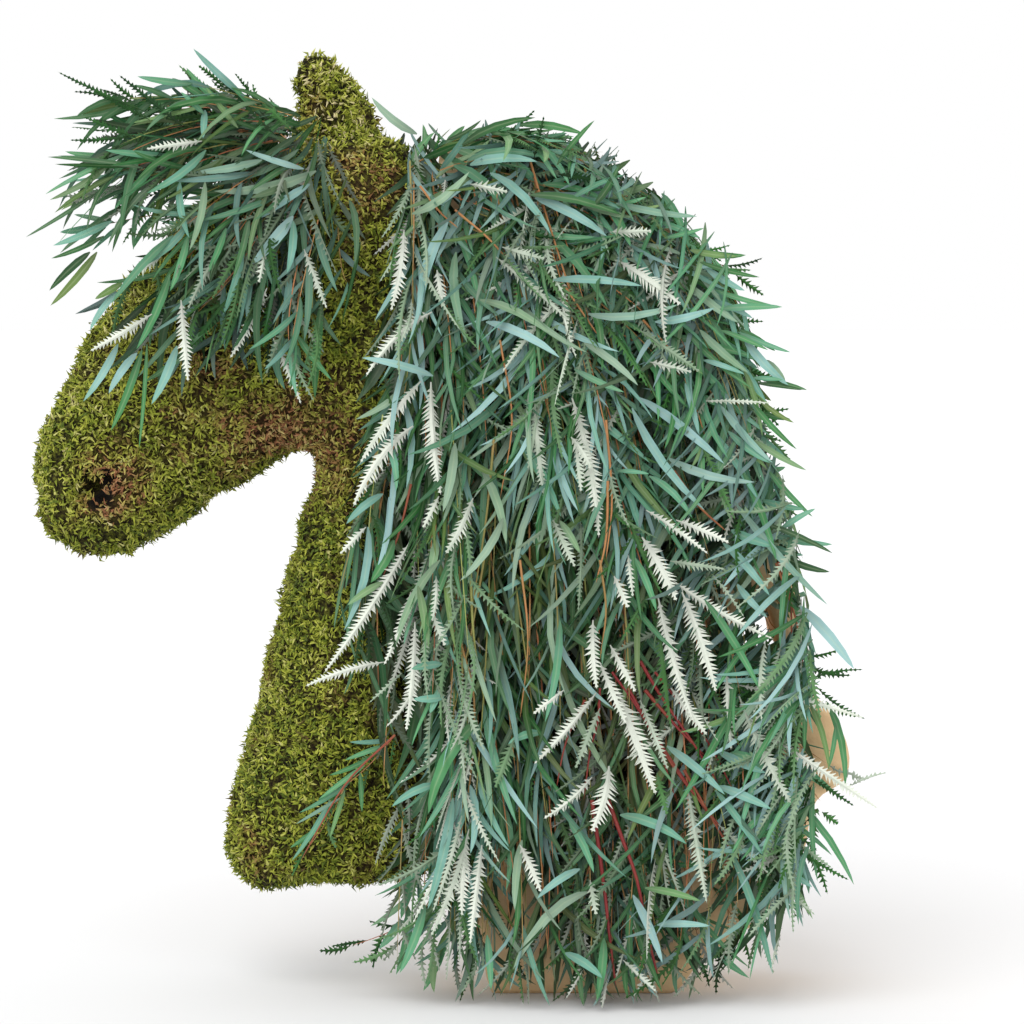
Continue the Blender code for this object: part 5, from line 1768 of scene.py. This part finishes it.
for name, leaf_list, shaper, finish, replaced in (
    ("mane_blades", mane_blades + eye_blades, blades, blade, locks["mane_lock"]),
    ("mane_combs", mane_combs + eye_combs, combs, comb, ()),
    ("mane_edge_blades", edge_blades + rear_blades, blades, blade, ()),
    ("mane_edge_combs", edge_combs + rear_combs, combs, comb, ()),
    ("mane_shade_blades", mane_shade, plain_blades, blade, ()),
    ("forelock_blades", forelock_blades + brow_blades, blades, blade, locks["forelock_lock"]),
    ("forelock_combs", forelock_combs + brow_combs, combs, comb, ()),
    ("mane_far_blades", far_leaves["mane_far"][0], blades, blade, locks["mane_far"]),
    ("mane_far_combs", far_leaves["mane_far"][1], combs, comb, ()),
    ("forelock_far_blades", far_leaves["forelock_far"][0], blades, blade, locks["forelock_far"]),
    ("forelock_far_combs", far_leaves["forelock_far"][1], combs, comb, ()),
):
    gathered = Gathered("tone", "light", "rib")
    shaper(gathered, leaf_list)
    gathered.piece(name, finish, "foliage", replaced)

# %% The stems
# pixel columns and rows along each stem that shows, then its radius in mm and its tone
SEEN_STEMS = (
    (((592, 800), (604, 886), (610, 940), (616, 988)), 2.1, 0.0),
    (((608, 800), (622, 838), (637, 880), (648, 935), (660, 986)), 2.2, 0.0),
    (((628, 688), (652, 730), (678, 770), (722, 834)), 1.6, 0.05),
    (((600, 688), (598, 720), (590, 752), (584, 800)), 1.3, 0.0),
    (((612, 672), (640, 712), (660, 752), (676, 800)), 1.4, 0.0),
    (((585, 700), (566, 742), (556, 790)), 1.2, 0.1),
    (((655, 672), (690, 716), (716, 756), (740, 806)), 1.3, 0.02),
    (((684, 770), (714, 822), (748, 880)), 1.5, 0.2),
    (((460, 640), (474, 700), (470, 780), (458, 850)), 1.4, 0.6),
    (((520, 560), (528, 640), (520, 720)), 1.2, 0.55),
    (((600, 560), (606, 610), (600, 660)), 1.3, 0.6),
    (((484, 560), (470, 640), (452, 720)), 1.1, 0.75),
    (((685, 378), (696, 408), (706, 439)), 1.0, 0.5),
    (((674, 471), (699, 506), (726, 531)), 1.6, 0.35),
    (((608, 481), (606, 539), (596, 583)), 1.5, 0.5),
    (((778, 562), (790, 596), (792, 640), (797, 672)), 1.2, 0.2),
    (((640, 661), (661, 696), (695, 746), (718, 783)), 1.8, 0.02),
    (((645, 718), (673, 766), (710, 814), (730, 839)), 1.8, 0.12),
    (((794, 643), (800, 660), (806, 678)), 1.2, 0.7),
    (((740, 701), (770, 738), (799, 773), (821, 802)), 1.0, 0.55),
    (((720, 420), (744, 470), (768, 540)), 1.1, 0.5),
    (((500, 340), (512, 420), (500, 500)), 1.1, 0.5),
    (((645, 690), (675, 725), (705, 756)), 1.8, 0.05),
    (((455, 210), (490, 240), (521, 276)), 1.3, 0.5),
    (((566, 288), (582, 312), (600, 338)), 1.3, 0.5),
    (((643, 320), (660, 338), (676, 356)), 1.3, 0.5),
    (((420, 186), (440, 212), (458, 228)), 1.2, 0.5),
    (((411, 484), (400, 530), (382, 580)), 1.3, 0.2),
    (((494, 439), (486, 520), (472, 608)), 1.4, 0.75),
    (((470, 560), (474, 640), (484, 700)), 1.6, 0.9),
    (((606, 420), (612, 500), (606, 560)), 1.3, 0.5),
    (((776, 563), (796, 620), (805, 680)), 1.2, 0.3),
    (((395, 735), (345, 785), (300, 862)), 1.2, 0.2),
)
for row, radius, tone_of in SEEN_STEMS:
    line = [at_pixel(column, pixel_row, mane_depth(column, pixel_row) + 0.004) for column, pixel_row in row]
    points = np.array([on_curve(np.array(line), k / 12) for k in range(13)])
    tube(mane_stems, lay_outside(points, 0.004), radius * PIXEL, 6, tone_of)
mane_stems.piece("mane_stems", bark, "foliage")
forelock_stems.piece("forelock_stems", bark, "foliage")
far_stems.piece("far_stems", bark, "foliage")
